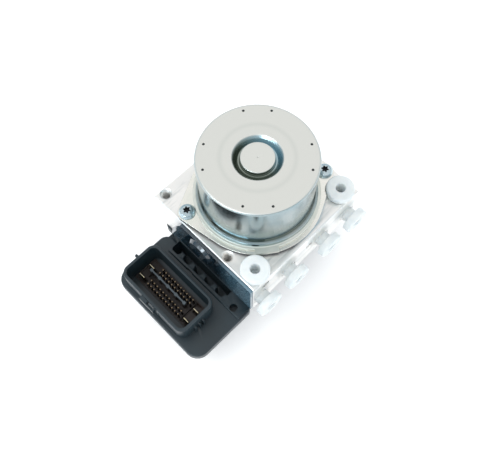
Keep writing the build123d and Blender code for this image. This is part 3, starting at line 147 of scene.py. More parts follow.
def machinedAluminium():
    # 6000-series block, fly-cut then washed: near white and satin, with the cutter's slow waves,
    # fine scuffs and a few dull specks
    f = blockFinish
    material, tree, surface = startMaterial("machinedAluminium", f["colour"], 1.0, f["roughness"][0])
    # slanting bands of the wave node repeat every pi / 5 units
    place = addNode(tree, "ShaderNodeTexCoord").outputs["Object"]
    size = Vector((1, 1, 1)) * (math.pi / 5 * 1000 / f["waveMm"])
    cells = addNode(tree, "ShaderNodeMapping", {"Vector": place, "Scale": size}).outputs[0]
    waveSockets = {"Vector": cells, "Scale": 1.0, "Distortion": 0.8, "Detail": 2.0}
    waves = addNode(tree, "ShaderNodeTexWave", waveSockets, bands_direction="DIAGONAL")
    cloud = patternNoise(tree, f["cloudMm"], 4.0)
    scuffs = patternNoise(tree, f["scuffMm"], 6.0, (0.25, 1.3, 1.0))
    specks = patternNoise(tree, f["speckMm"], 1.0)
    plainStops = [(0.3, f["plain"][0]), (0.7, f["plain"][1])]
    plain = addNode(tree, "ShaderNodeValToRGB", {"Fac": cloud}, plainStops).outputs[0]
    wornStops = [(0.30, f["scuff"]), (0.44, "#FFFFFF")]
    worn = addNode(tree, "ShaderNodeValToRGB", {"Fac": scuffs}, wornStops).outputs[0]
    dottedStops = [(0.17, f["speck"]), (0.21, "#FFFFFF")]
    dotted = addNode(tree, "ShaderNodeValToRGB", {"Fac": specks}, dottedStops).outputs[0]
    colour = addNode(tree, "ShaderNodeMix", {0: 1.0, 6: plain, 7: worn}, **multiplied).outputs[2]
    colour = addNode(tree, "ShaderNodeMix", {0: 1.0, 6: colour, 7: dotted}, **multiplied).outputs[2]
    spread = (cloud, *f["roughness"])
    finishSurface(tree, surface, colour, spread, waves.outputs["Fac"], f["waveDepthMm"], 0.3)
    return material


# sizes in mm of the can, which both its finish and its shape follow
motorCan = dict(
    inner=38.0, innerTop=119.7, base=74.0, foot=44.3, footTop=76.0,
    beadOuter=42.2, beadLean=0.4, beadTop=79.0, beadShoulder=0.9, beadShoulderRise=0.5,
    neck=39.4, neckTop=81.6, sideFoot=39.4, sideFootLevel=82.6, side=40.0, top=121.7, edgeRound=2.0,
    groove=16.6, grooveFloorRadius=12.9, grooveFloor=117.2, grooveWall=0.7, grooveBack=18.6,
    boss=11.2, bossFoot=11.6, bossTop=121.4,
    bearing=9.02, bearingTop=119.4, bearingBottom=114.4, bearingBoss=12.0,
    footUnder=0.3, footEdge=0.6, footCrease=0.7, beadRound=1.1, neckCrease=0.4,
    grooveLip=0.9, grooveCorner=0.8, bossCrease=0.4, bossRound=0.8, segments=180,
    tabAngle=233.5, tabWidth=16.0, tabReach=46.9,
    slotAngle=223.5, slotWidth=4.6, slotHeight=1.3, slotDepth=1.4, slotLevel=77.7,
    dimpleCircle=35.3, dimple=0.9, dimpleDepth=1.2, dimpleSpread=15.0, centreDot=0.6, centreDotDepth=0.3,
)
# the blends run between two distances in mm from the top, the side or the foot
canFinish = dict(
    colour="#DEDFD9", sideRoughness=0.17, topRoughness=0.42, footRoughness=0.5, cloudMm=18.0, drawMarkMm=1.4,
    side=("#92A6AC", "#AAB4B4"), foot=("#D6DAD2", "#E4E6DF"),
    top=[(0.0, "#DFE0DB"), (0.54, "#DEDFDA"), (0.60, "#D7D9D4"), (0.66, "#DEDFDA")],
    # neckPaintedShade is painted shade: a darker band in the fold between the bead and the side
    neckPaintedShade=[(0.0, "#FFFFFF"), (0.25, "#7E7F74"), (0.75, "#8A8C82"), (1.0, "#FFFFFF")],
    # groovePaintedShadeAndSheen is painted shade in the ring groove, dark on the -x side, with a painted
    # bluish reflection on the +x side
    groovePaintedShadeAndSheen=[(0.0, "#878F86"), (0.45, "#8A938D"), (0.8, "#9DB4BC"), (1.0, "#BAD3DC")],
    topBlend=(-2.0, -0.4), sideBlend=(-0.8, -0.1), sunkBlend=(-1.3, -0.36), rimBlend=(-2.0, -1.0),
    footBlend=(0.1, 0.7),
)


def drawnZincSteel():
    # deep-drawn steel, zinc plated and clear passivated: dull even top, mirror-like drawn side with faint
    # vertical draw marks, painted shade in the fold above the bead, and painted shade in the ring groove that
    # turns into a painted bluish reflection on its +x side
    c, f = motorCan, canFinish
    material, tree, surface = startMaterial("drawnZincSteel", f["colour"], 1.0, f["sideRoughness"])
    raised = shareAlong(tree, "z", *(c["top"] + step for step in f["topBlend"]))
    withinSide = shareOutwards(tree, *(c["side"] + step for step in f["sideBlend"]), 1.0, 0.0)
    onTop = addNode(tree, "ShaderNodeMath", {0: raised, 1: withinSide}, operation="MULTIPLY").outputs[0]
    sunk = shareAlong(tree, "z", *(c["top"] + step for step in f["sunkBlend"]), 1.0, 0.0)
    withinRim = shareOutwards(tree, *(c["side"] + step for step in f["rimBlend"]), 1.0, 0.0)
    inGroove = addNode(tree, "ShaderNodeMath", {0: sunk, 1: withinRim}, operation="MULTIPLY").outputs[0]
    onFoot = shareAlong(tree, "z", *(c["footTop"] + step for step in f["footBlend"]), 1.0, 0.0)
    upNeck = shareAlong(tree, "z", c["beadTop"], c["sideFootLevel"])
    outwards = shareOutwards(tree, 0.0, c["side"])
    acrossGroove = shareAlong(tree, "x", -c["groove"], c["groove"])
    cloud = patternNoise(tree, f["cloudMm"], 3.0)
    marks = patternNoise(tree, f["drawMarkMm"], 3.0, (1.0, 1.0, 0.04))
    sideStops = [(0.35, f["side"][0]), (0.65, f["side"][1])]
    footStops = [(0.35, f["foot"][0]), (0.65, f["foot"][1])]
    side = addNode(tree, "ShaderNodeValToRGB", {"Fac": cloud}, sideStops).outputs[0]
    foot = addNode(tree, "ShaderNodeValToRGB", {"Fac": cloud}, footStops).outputs[0]
    # painted shade in the fold above the bead, multiplied over the side
    neck = addNode(tree, "ShaderNodeValToRGB", {"Fac": upNeck}, f["neckPaintedShade"]).outputs[0]
    top = addNode(tree, "ShaderNodeValToRGB", {"Fac": outwards}, f["top"]).outputs[0]
    # painted shade in the groove, turning into a painted bluish reflection across x
    grooveShadeAndSheen = addNode(tree, "ShaderNodeValToRGB", {"Fac": acrossGroove}, f["groovePaintedShadeAndSheen"]).outputs[0]
    colour = addNode(tree, "ShaderNodeMix", {0: 1.0, 6: side, 7: neck}, **multiplied).outputs[2]
    colour = addNode(tree, "ShaderNodeMix", {0: onFoot, 6: colour, 7: foot}, **mixed).outputs[2]
    colour = addNode(tree, "ShaderNodeMix", {0: onTop, 6: colour, 7: top}, **mixed).outputs[2]
    colour = addNode(tree, "ShaderNodeMix", {0: inGroove, 6: colour, 7: grooveShadeAndSheen}, **mixed).outputs[2]
    low, high = f["sideRoughness"] * 0.7, f["sideRoughness"] * 1.4
    drawn = addNode(tree, "ShaderNodeMapRange", {"Value": marks, "To Min": low, "To Max": high}).outputs[0]
    # a mix of numbers takes its two values at sockets 2 and 3
    plain = dict(data_type="FLOAT")
    gloss = addNode(tree, "ShaderNodeMix", {0: onTop, 2: drawn, 3: f["topRoughness"]}, **plain).outputs[0]
    gloss = addNode(tree, "ShaderNodeMix", {0: onFoot, 2: gloss, 3: f["footRoughness"]}, **plain).outputs[0]
    setSockets(tree, surface, {"Roughness": gloss})
    finishSurface(tree, surface, colour, height=marks, reliefMm=0.006, strength=0.25)
    return material


screwFinish = dict(colour="#CAD8DC", darker="#AEC0C7", roughness=0.22, cloudMm=14.0, grainMm=1.2)


def zincPlatedSteel():
    # headed steel with a clear-passivated zinc coat: soft grey sheen, slightly blue, with the
    # plating's grain drawn coarser than it is so that it shows
    f = screwFinish
    material, tree, surface = startMaterial("screwZinc", f["colour"], 1.0, f["roughness"])
    cloud = patternNoise(tree, f["cloudMm"], 3.0)
    grain = patternNoise(tree, f["grainMm"], 2.0)
    colour = addNode(tree, "ShaderNodeValToRGB", {"Fac": cloud}, [(0.35, f["darker"]), (0.65, f["colour"])])
    spread = (cloud, f["roughness"] * 0.85, f["roughness"] * 1.2)
    finishSurface(tree, surface, colour.outputs[0], spread, grain, 0.006, 0.3)
    return material


# seat, thickness and the places where the edge turns from painted shadow to painted highlight are in mm
plateFinish = dict(
    colour="#D6DAD3", face=("#E6E8E0", "#F2F0EA"), roughness=(0.22, 0.32), cloudMm=14.0,
    seat=71.0, thickness=3.0, edgeTurn=(-12.0, 4.0), faceBlend=(-0.45, -0.1),
    # the edge colours are painted light: a bluish highlight with a dark line at its top, and a shadow that
    # pales upwards
    paintedHighlightEdge=[(0.0, "#A9C6D4"), (0.66, "#8FB0C0"), (0.74, "#232B30"), (0.92, "#2A3237")],
    paintedShadowEdge=[(0.0, "#1A2125"), (0.6, "#27323A"), (0.9, "#38464F")],
)


def platedSheet():
    # blanked sheet with the same zinc coat: pale face over a sheared edge, with painted shadow on the side
    # towards the plug socket and a painted bluish highlight with a dark top line on the free side
    f = plateFinish
    top = f["seat"] + f["thickness"]
    material, tree, surface = startMaterial("platedSheet", f["colour"], 1.0, f["roughness"][0])
    cloud = patternNoise(tree, f["cloudMm"], 3.0)
    upEdge = shareAlong(tree, "z", f["seat"], top)
    highlightEdge = addNode(tree, "ShaderNodeValToRGB", {"Fac": upEdge}, f["paintedHighlightEdge"]).outputs[0]
    shadowEdge = addNode(tree, "ShaderNodeValToRGB", {"Fac": upEdge}, f["paintedShadowEdge"]).outputs[0]
    faceStops = [(0.35, f["face"][0]), (0.65, f["face"][1])]
    face = addNode(tree, "ShaderNodeValToRGB", {"Fac": cloud}, faceStops).outputs[0]
    across = shareAlong(tree, "x", *f["edgeTurn"])
    onFace = shareAlong(tree, "z", *(top + step for step in f["faceBlend"]))
    # painted shadow turning into painted highlight across x
    edge = addNode(tree, "ShaderNodeMix", {0: across, 6: shadowEdge, 7: highlightEdge}, **mixed).outputs[2]
    colour = addNode(tree, "ShaderNodeMix", {0: onFace, 6: edge, 7: face}, **mixed).outputs[2]
    finishSurface(tree, surface, colour, (cloud, *f["roughness"]))
    return material


def turnedSteel(name, colour, roughness, ringMm=0.6):
    # turned or ground steel: fine rings round the axis show as streaks
    material, tree, surface = startMaterial(name, colour, 1.0, roughness)
    rings = patternNoise(tree, ringMm, 2.0, (0.05, 0.05, 1.0))
    finishSurface(tree, surface, None, (rings, roughness * 0.8, roughness * 1.25), rings, 0.004, 0.3)
    return material


def platedTerminal(name, tipTop, tipLength, tipColour, wellShadeColour, wearMm=1.5):
    # stamped copper alloy with a thin flash of gold or tin: bright at the tip, with painted shade darkening
    # the shaft down in the well
    material, tree, surface = startMaterial(name, tipColour, 1.0, 0.3)
    upTip = shareAlong(tree, "z", tipTop - tipLength, tipTop)
    # painted shade: the shaft darkens towards the bottom of the well
    colour = addNode(tree, "ShaderNodeValToRGB", {"Fac": upTip}, [(0.0, wellShadeColour), (0.6, tipColour)])
    finishSurface(tree, surface, colour.outputs[0], (patternNoise(tree, wearMm, 3.0), 0.24, 0.42))
    return material


wireFinish = dict(colour="#B96F42", between="#8F5230", lit="#C77B4B", roughness=0.32, wireMm=0.9)


def woundCopper():
    # enamelled wire and commutator bars: warm brown-red metal with turns that show as fine bands of painted
    # shade between them and painted highlight on them
    f = wireFinish
    material, tree, surface = startMaterial("woundCopper", f["colour"], 1.0, f["roughness"])
    turns = patternNoise(tree, f["wireMm"], 2.0, (1.0, 1.0, 0.3))
    # painted shade between the turns and painted highlight on them
    colour = addNode(tree, "ShaderNodeValToRGB", {"Fac": turns}, [(0.35, f["between"]), (0.6, f["lit"])])
    finishSurface(tree, surface, colour.outputs[0], None, turns, 0.05, 0.4)
    return material


# plastics, rubber and the rest
housingFinish = dict(colour="#16252C", lighter="#1F3038", roughness=0.38, flowMm=22.0, grainMm=0.9)


def glassFilledPolyester():
    # moulded black PBT with glass fibre: grey-blue sheen, fine grain drawn coarse enough to show,
    # and faint flow marks along the moulding
    f = housingFinish
    material, tree, surface = startMaterial("blackPbt", f["colour"], 0.0, f["roughness"], {"IOR": 1.55})
    flow = patternNoise(tree, f["flowMm"], 4.0, (1.0, 0.35, 1.0))
    grain = patternNoise(tree, f["grainMm"], 2.0)
    colour = addNode(tree, "ShaderNodeValToRGB", {"Fac": flow}, [(0.3, f["colour"]), (0.75, f["lighter"])])
    spread = (flow, f["roughness"] * 0.85, f["roughness"] * 1.2)
    finishSurface(tree, surface, colour.outputs[0], spread, grain, 0.03, 0.4)
    return material


# ribFoot and ribTop are heights in mm
carrierFinish = dict(
    colour="#1A1411", body=("#17110F", "#2A1F1A"), crest=("#3A444B", "#515C63"), roughness=0.5,
    ribFoot=33.0, ribTop=37.6, flowMm=12.0, grainMm=0.9,
)


def carrierPolyester():
    # moulded brown-black PBT, paler and bluer towards the top of the dividing rib
    f = carrierFinish
    material, tree, surface = startMaterial("carrierPbt", f["colour"], 0.0, f["roughness"], {"IOR": 1.55})
    flow = patternNoise(tree, f["flowMm"], 3.0)
    upRib = shareAlong(tree, "z", f["ribFoot"], f["ribTop"])
    body, crest = (
        addNode(tree, "ShaderNodeValToRGB", {"Fac": flow}, [(0.3, f[part][0]), (0.7, f[part][1])]).outputs[0]
        for part in ("body", "crest")
    )
    colour = addNode(tree, "ShaderNodeMix", {0: upRib, 6: body, 7: crest}, **mixed).outputs[2]
    finishSurface(tree, surface, colour, None, patternNoise(tree, f["grainMm"], 2.0), 0.03, 0.4)
    return material


# run is the stretch of the shield in mm along y, over which the shades change; the dark middle shades are a
# painted reflection of the dark pockets
shieldFinish = dict(
    colour="#2B4250", roughness=0.1, coat=0.6, coatRoughness=0.05, waveMm=7.0, waveDepthMm=0.25,
    run=(-49.0, 30.0),
    shades=[(0.0, "#5C7C8D"), (0.28, "#4A6777"), (0.42, "#1A2933"), (0.8, "#22333E"), (1.0, "#3C5462")],
)


def glossyShieldFilm():
    # moulded shield with a polished blue-black face: a painted dark reflection over the pump's bulge, plain
    # steel blue towards the wheel ports, and slightly wavy all over
    f = shieldFinish
    coat = {"IOR": 1.6, "Coat Weight": f["coat"], "Coat Roughness": f["coatRoughness"]}
    material, tree, surface = startMaterial("glossyShieldPbt", f["colour"], 0.0, f["roughness"], coat)
    along = shareAlong(tree, "y", *f["run"])
    # the darker middle of the run is a painted reflection of the dark pockets beside the shield
    shade = addNode(tree, "ShaderNodeValToRGB", {"Fac": along}, f["shades"]).outputs[0]
    finishSurface(tree, surface, shade, None, patternNoise(tree, f["waveMm"], 2.0), f["waveDepthMm"], 0.5)
    return material


plugFinish = dict(
    colour="#E8EFF1", cloud=("#E6EDEF", "#F0F5F5"), roughness=0.36, cloudMm=6.0,
    milk=0.3, milkDepth=0.004, milkRadius=(0.9, 1.0, 1.1),
)


def milkyPolyethylene():
    # injection-moulded LDPE: bright milky white that lets a little light through
    f = plugFinish
    milk = {
        "IOR": 1.51,
        "Subsurface Weight": f["milk"],
        "Subsurface Scale": f["milkDepth"],
        "Subsurface Radius": f["milkRadius"],
    }
    material, tree, surface = startMaterial("milkyPolyethylene", f["colour"], 0.0, f["roughness"], milk)
    cloud = patternNoise(tree, f["cloudMm"], 2.0)
    colour = addNode(tree, "ShaderNodeValToRGB", {"Fac": cloud}, [(0.3, f["cloud"][0]), (0.7, f["cloud"][1])])
    finishSurface(tree, surface, colour.outputs[0], None, cloud, 0.05, 0.3)
    return material


def plainMoulding(name, colour, roughness, grainMm=0.9, metallic=0.0):
    # small moulded, sintered or pressed piece with an even fine grain
    material, tree, surface = startMaterial(name, colour, metallic, roughness)
    grain = patternNoise(tree, grainMm, 3.0)
    finishSurface(tree, surface, None, (grain, roughness * 0.8, roughness * 1.2), grain, 0.01, 0.4)
    return material


# painted shadow: a dark colour put in the hollows of slots and drives
recessShadow = plainMoulding("paintedRecessShadow", "#23282A", 0.5, 0.9, 0.7)      # dark hollow of slots and drives
# painted shade in the staking dimples, lighter than the painted shadow of the slots
stakedHollowShadow = plainMoulding("stakedHollowShadow", "#6A7070", 0.5, 0.9, 0.8)
finishes = {
    "machined_aluminium": machinedAluminium(),
    "zinc_plated_can": drawnZincSteel(),
    "end_plate_steel": platedSheet(),
    "zinc_screws": zincPlatedSteel(),
    "sealing_rubber": plainMoulding("sealingRubber", "#15171A", 0.75),
    "black_housing_plastic": glassFilledPolyester(),
    "carrier_plastic": carrierPolyester(),
    "white_plug_plastic": milkyPolyethylene(),
    "hardened_steel": turnedSteel("groundSteel", "#B4B8BB", 0.25),
    "spring_steel": turnedSteel("springWire", "#8E9194", 0.35),
    "laminated_steel": turnedSteel("laminations", "#7C8084", 0.45),
    "copper_wire": woundCopper(),
    "valve_steel": turnedSteel("valveSteel", "#A9ADB0", 0.3),
    "coil_plastic": plainMoulding("coilPlastic", "#1B1C1E", 0.5),
    # the second colour of each terminal is painted shade down in the well
    "terminal_brass": platedTerminal("goldFlash", 38.0, 1.2, "#FFF4D2", "#5A4E2A"),
    "magnet_ferrite": plainMoulding("sinteredFerrite", "#2A2A2B", 0.6),
    "brush_carbon": plainMoulding("pressedCarbon", "#232323", 0.55),
    "board_laminate": plainMoulding("solderMask", "#14482B", 0.35, 1.5),
    "chip_plastic": plainMoulding("chipEpoxy", "#17181A", 0.5),
    "capacitor_aluminium": plainMoulding("capacitorCan", "#A4A8AB", 0.35, 0.9, 1.0),
}
glossyShield = glossyShieldFilm()
tinnedPin = platedTerminal("tinnedPin", 37.0, 0.7, "#8A7B66", "#221B16")
slotOf = {entry["node"]: entry["material_slot"] for entry in frame["record"]["subparts"]}


def dress(piece, *materials):
    piece.data.materials.clear()
    for material in materials:
        piece.data.materials.append(material)


for name, node in nodes.items():
    dress(node, finishes[slotOf[name]])
dress(nodes["signal_terminals"], tinnedPin)
print("finishes ready:", len(finishes))


# mesh helpers
axisReach = 1e-6          # a section point nearer than this to the axis, in mm, lies on it
arcStep = 15              # degrees between the points of a rounded corner
weldReach = 0.002         # mm within which copied points join
flatAngle = 0.6           # degrees below which neighbouring faces count as one


def placePiece(name, mesh, body, slot, standsFor=(), materials=()):
    piece = bpy.data.objects.new(name, mesh)
    bpy.context.scene.collection.objects.link(piece)
    dress(piece, *(materials or (finishes[slot],)))
    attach(piece, body)
    if standsFor:
        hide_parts(*standsFor)
    return piece


def smoothMesh(mesh, sharpAngle=32):
    mesh.shade_smooth()
    mesh.set_sharp_from_angle(angle=math.radians(sharpAngle))


def meshFrom(name, build):
    mesh = bpy.data.meshes.new(name)
    build.to_mesh(mesh)
    build.free()
    return mesh


def roundCorners(corners):
    # corners are (radius, height, rounding); a rounding over 0 turns the corner into a short arc
    points = []
    count = len(corners)
    for i, (r, z, rounding) in enumerate(corners):
        here = Vector((r, z))
        if rounding <= 0 or i in (0, count - 1):
            points.append(here)
            continue
        before = Vector(corners[i - 1][:2]) - here
        after = Vector(corners[i + 1][:2]) - here
        half = before.angle(after) / 2
        reach = min(rounding / math.tan(half), before.length * 0.49, after.length * 0.49)
        radius = reach * math.tan(half)
        start = here + before.normalized() * reach
        end = here + after.normalized() * reach
        middle = here + (before.normalized() + after.normalized()).normalized() * (radius / math.sin(half))
        first = start - middle
        turn = first.angle_signed(end - middle)
        steps = max(3, int(abs(turn) / math.radians(arcStep)))
        for s in range(steps + 1):
            points.append(middle + Matrix.Rotation(-turn * s / steps, 2) @ first)
    return points


def holdStraights(points, margin=0.3):
    # loops close to both ends of each long straight, so that smooth shading leaves it straight
    held = [points[0]]
    for start, end in zip(points, points[1:]):
        run = end - start
        if run.length > 4 * margin:
            held += [start + run.normalized() * margin, end - run.normalized() * margin]
        held.append(end)
    return held


def latheBuild(corners, segments, closed=False):
    # a section turned about the z axis; a closed section has both its ends joined
    rings = []
    build = bmesh.new()
    for point in holdStraights(roundCorners(corners)):
        if point.x < axisReach:
            rings.append([build.verts.new((0, 0, point.y * mm))])
            continue
        rings.append([])
        for s in range(segments):
            angle = 2 * math.pi * s / segments
            spot = Vector((point.x * math.cos(angle), point.x * math.sin(angle), point.y))
            rings[-1].append(build.verts.new(spot * mm))
    pairs = list(zip(rings, rings[1:]))
    if closed:
        pairs.append((rings[-1], rings[0]))
    for low, high in pairs:
        for s in range(segments):
            t = (s + 1) % segments
            corner = [low[s % len(low)], low[t % len(low)], high[t % len(high)], high[s % len(high)]]
            unique = list(dict.fromkeys(corner))
            if len(unique) > 2:
                build.faces.new(unique)
    bmesh.ops.recalc_face_normals(build, faces=build.faces)
    return build


def blockBuild(length, width, height, place):
    # a plain block for cutting or joining, centred on its place
    build = bmesh.new()
    size = Matrix.Diagonal((length * mm, width * mm, height * mm, 1))
    bmesh.ops.create_cube(build, size=1.0, matrix=place @ size)
    return build


def combine(piece, build, operation, shade=0):
    # cuts the built form out of the piece or joins it on, and applies the result
    mesh = meshFrom("toolForm", build)
    for slot in piece.data.materials:
        mesh.materials.append(slot)
    for face in mesh.polygons:
        face.material_index = shade
    tool = bpy.data.objects.new("toolForm", mesh)
    bpy.context.scene.collection.objects.link(tool)
    change = piece.modifiers.new("change", "BOOLEAN")
    change.object = tool
    change.operation = operation
    change.solver = "EXACT"
    evaluated = piece.evaluated_get(bpy.context.evaluated_depsgraph_get())
    finished = bpy.data.meshes.new_from_object(evaluated)
    piece.modifiers.remove(change)
    piece.data = finished
    bpy.data.objects.remove(tool)
    smoothMesh(piece.data)


def softenedCopy(node, width, material=None, segments=2, sharpAngle=35):
    # the node's own shape with its hard edges rounded, as moulded or deburred pieces are
    build = bmesh.new()
    build.from_mesh(nodes[node].data)
    bmesh.ops.remove_doubles(build, verts=build.verts, dist=weldReach * mm)
    bmesh.ops.dissolve_limit(
        build,
        angle_limit=math.radians(flatAngle),
        verts=build.verts,
        edges=build.edges,
        use_dissolve_boundaries=False,
    )
    mesh = meshFrom(node + "Piece", build)
    mesh.materials.clear()
    materials = (material,) if material else ()
    piece = placePiece(node + "Piece", mesh, "modulator", slotOf[node], [node], materials)
    rounding = piece.modifiers.new("edgeRounding", "BEVEL")
    rounding.width = width * mm
    rounding.segments = segments
    rounding.limit_method = "ANGLE"
    rounding.angle_limit = math.radians(sharpAngle)
    rounding.use_clamp_overlap = True
    rounding.harden_normals = True
    smoothMesh(mesh, sharpAngle)


def turnedPlace(angle, radius, height):
    # a place at a distance from the shaft, turned so that x points outwards
    turn = Matrix.Rotation(math.radians(angle), 4, "Z")
    return turn @ Matrix.Translation(Vector((radius, 0, height)) * mm)


# pump motor can
punch = dict(proud=0.4, tipShare=0.35, segments=20)   # a blunt cone that starts above the surface


def punchInto(piece, spots, shade):
    # each spot is an angle, a distance from the shaft, a level, a radius and a depth
    punches = bmesh.new()
    for angle, reach, level, radius, depth in spots:
        flare = (1 - punch["tipShare"]) * punch["proud"] / depth
        bmesh.ops.create_cone(
            punches,
            cap_ends=True,
            segments=punch["segments"],
            radius1=radius * punch["tipShare"] * mm,
            radius2=radius * (1 + flare) * mm,
            depth=(depth + punch["proud"]) * mm,
            matrix=turnedPlace(angle, reach, level - (depth - punch["proud"]) / 2),
        )
    combine(piece, punches, "DIFFERENCE", shade)


def buildMotorCan():
    c = motorCan
    section = [
        (0, c["bearingTop"], 0),
        (c["bearing"], c["bearingTop"], 0),
        (c["bearing"], c["bearingBottom"], 0),
        (c["bearingBoss"], c["bearingBottom"], 0),
        (c["bearingBoss"], c["grooveFloor"] - c["grooveWall"], 0),
        (c["grooveBack"], c["grooveFloor"] - c["grooveWall"], 0),
        (c["grooveBack"], c["innerTop"], 0),
        (c["inner"], c["innerTop"], 0),
        (c["inner"], c["base"], 0),
        (c["foot"], c["base"], c["footUnder"]),
        (c["foot"], c["footTop"], c["footEdge"]),
        (c["beadOuter"], c["footTop"], c["footCrease"]),
        (c["beadOuter"] - c["beadLean"], c["beadTop"], c["beadRound"]),
        (c["neck"] + c["beadShoulder"], c["beadTop"] + c["beadShoulderRise"], c["neckCrease"]),
        (c["neck"], c["neckTop"], c["neckCrease"]),
        (c["sideFoot"], c["sideFootLevel"], c["neckCrease"]),
        (c["side"], c["top"], c["edgeRound"]),
        (c["groove"], c["top"], c["grooveLip"]),
        (c["grooveFloorRadius"], c["grooveFloor"], c["grooveCorner"]),
        (c["bossFoot"], c["grooveFloor"], c["bossCrease"]),
        (c["boss"], c["bossTop"], c["bossRound"]),
        (0, c["bossTop"], 0),
    ]
    mesh = meshFrom("motorCanShell", latheBuild(section, c["segments"]))
    # the second and third materials are painted shadow in the staking slot and painted shade in the dimples
    shades = (finishes["zinc_plated_can"], recessShadow, stakedHollowShadow)
    piece = placePiece("motorCanShell", mesh, "modulator", "zinc_plated_can", ["motor_can"], shades)
    # tab folded out over the plate's edge
    tabLength = c["tabReach"] - c["neck"]
    tabPlace = turnedPlace(c["tabAngle"], c["neck"] + tabLength / 2, (c["base"] + c["footTop"]) / 2)
    combine(piece, blockBuild(tabLength, c["tabWidth"], c["footTop"] - c["base"], tabPlace), "UNION")
    # staking slot over the foot
    slotPlace = turnedPlace(c["slotAngle"], c["beadOuter"], c["slotLevel"])
    # the slot's hollow takes the painted recess shadow
    combine(piece, blockBuild(c["slotDepth"], c["slotWidth"], c["slotHeight"], slotPlace), "DIFFERENCE", 1)
    # faint centre dot, and staking dimples in pairs about the diagonals
    punchInto(piece, [(0, 0, c["bossTop"], c["centreDot"], c["centreDotDepth"])], 0)
    spots = []
    for diagonal in (45, 135, 225, 315):
        for side in (-1, 1):
            angle = diagonal + side * c["dimpleSpread"]
            spots.append((angle, c["dimpleCircle"], c["top"], c["dimple"], c["dimpleDepth"]))
    punchInto(piece, spots, 2)


buildMotorCan()
print("motor can built")

# motor screws: domed heads with a six-lobed drive
motorScrew = dict(
    head=5.8, headHeight=3.6, skirt=0.9, shoulder=4.7, shoulderDrop=0.9, crown=2.8, shaft=2.5, length=13.7,
    tipEdge=0.4, underEdge=0.25, skirtEdge=0.6, shoulderRound=1.6, crownRound=2.0, segments=48,
    lobeRoot=1.75, lobeTip=2.77, lobes=6, driveDepth=2.0, driveProud=1.0, rimSteps=60, seat=74.0,
)


def buildMotorScrews():
    s = motorScrew
    farCorner = Vector(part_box("motor_screws")[1]) / mm
    reachX = farCorner.x - s["head"]
    reachY = farCorner.y - s["head"]
    middle = (s["lobeTip"] + s["lobeRoot"]) / 2
    swing = (s["lobeTip"] - s["lobeRoot"]) / 2
    turns = [2 * math.pi * step / s["rimSteps"] for step in range(s["rimSteps"])]
    radii = [middle + swing * math.cos(s["lobes"] * angle) for angle in turns]
    rim = [(radius * math.cos(angle), radius * math.sin(angle)) for angle, radius in zip(turns, radii)]
    build = bmesh.new()
    drives = bmesh.new()
    for side in (-1, 1):
        place = Matrix.Translation(Vector((side * reachX, -side * reachY, s["seat"])) * mm)
        section = [
            (0, -s["length"], 0),
            (s["shaft"], -s["length"], s["tipEdge"]),
            (s["shaft"], 0, 0),
            (s["head"], 0, s["underEdge"]),
            (s["head"], s["skirt"], s["skirtEdge"]),
            (s["shoulder"], s["headHeight"] - s["shoulderDrop"], s["shoulderRound"]),
            (s["crown"], s["headHeight"], s["crownRound"]),
            (0, s["headHeight"], 0),
        ]
        screw = meshFrom("screwForm", latheBuild(section, s["segments"]))
        screw.transform(place)
        build.from_mesh(screw)
        bpy.data.meshes.remove(screw)
        rows = [
            [drives.verts.new(place @ (Vector((x, y, level)) * mm)) for x, y in rim]
            for level in (s["headHeight"] - s["driveDepth"], s["headHeight"] + s["driveProud"])
        ]
        drives.faces.new(list(reversed(rows[0])))
        drives.faces.new(rows[1])
        for i in range(len(rim)):
            j = (i + 1) % len(rim)
            drives.faces.new([rows[0][i], rows[0][j], rows[1][j], rows[1][i]])
    bmesh.ops.recalc_face_normals(drives, faces=drives.faces)
    mesh = meshFrom("motorScrewPair", build)
    smoothMesh(mesh)
    shades = (finishes["zinc_screws"], recessShadow)
    piece = placePiece("motorScrewPair", mesh, "modulator", "zinc_screws", ["motor_screws"], shades)
    # the six-lobed drive takes the painted recess shadow
    combine(piece, drives, "DIFFERENCE", 1)


buildMotorScrews()
print("motor screws built")

# transport plugs
plug = dict(
    spigot=5.48, spigotLength=11.0, spigotChamfer=1.5, head=10.0, headThickness=5.8, edge=1.3, underEdge=0.78,
    hole=3.3, holeDepth=12.0, holeFlare=0.4, holeFlareDepth=0.9, holeDraft=0.25, topNeck=0.6, sideNeck=5.0,
    tipEdge=0.3, spigotEdge=0.5, flareEdge=0.3, rimEdge=0.5, holeEdge=0.4, segments=72,
)


def buildPlug(node, neck, place):
    # neck is the length of spigot that stands out of the block
    p = plug
    top = neck + p["headThickness"]
    section = [
        (0, -p["spigotLength"], 0),
        (p["spigot"] - p["spigotChamfer"], -p["spigotLength"], p["tipEdge"]),
        (p["spigot"], -p["spigotLength"] + p["spigotChamfer"], p["spigotEdge"]),
        (p["spigot"], neck, p["spigotEdge"]),
        (p["head"], neck, p["underEdge"]),
        (p["head"], top, p["edge"]),
        (p["hole"] + p["holeFlare"], top, p["rimEdge"]),
        (p["hole"], top - p["holeFlareDepth"], p["flareEdge"]),
        (p["hole"] - p["holeDraft"], top - p["holeDepth"], p["holeEdge"]),
        (0, top - p["holeDepth"], 0),
    ]
    mesh = meshFrom(node + "Moulding", latheBuild(section, p["segments"]))
    smoothMesh(mesh)
    mesh.transform(place)
    placePiece(node + "Moulding", mesh, "modulator", "white_plug_plastic", [node])


def plugCentre(node):
    low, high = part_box(node)
    return (Vector(low) + Vector(high)) / 2


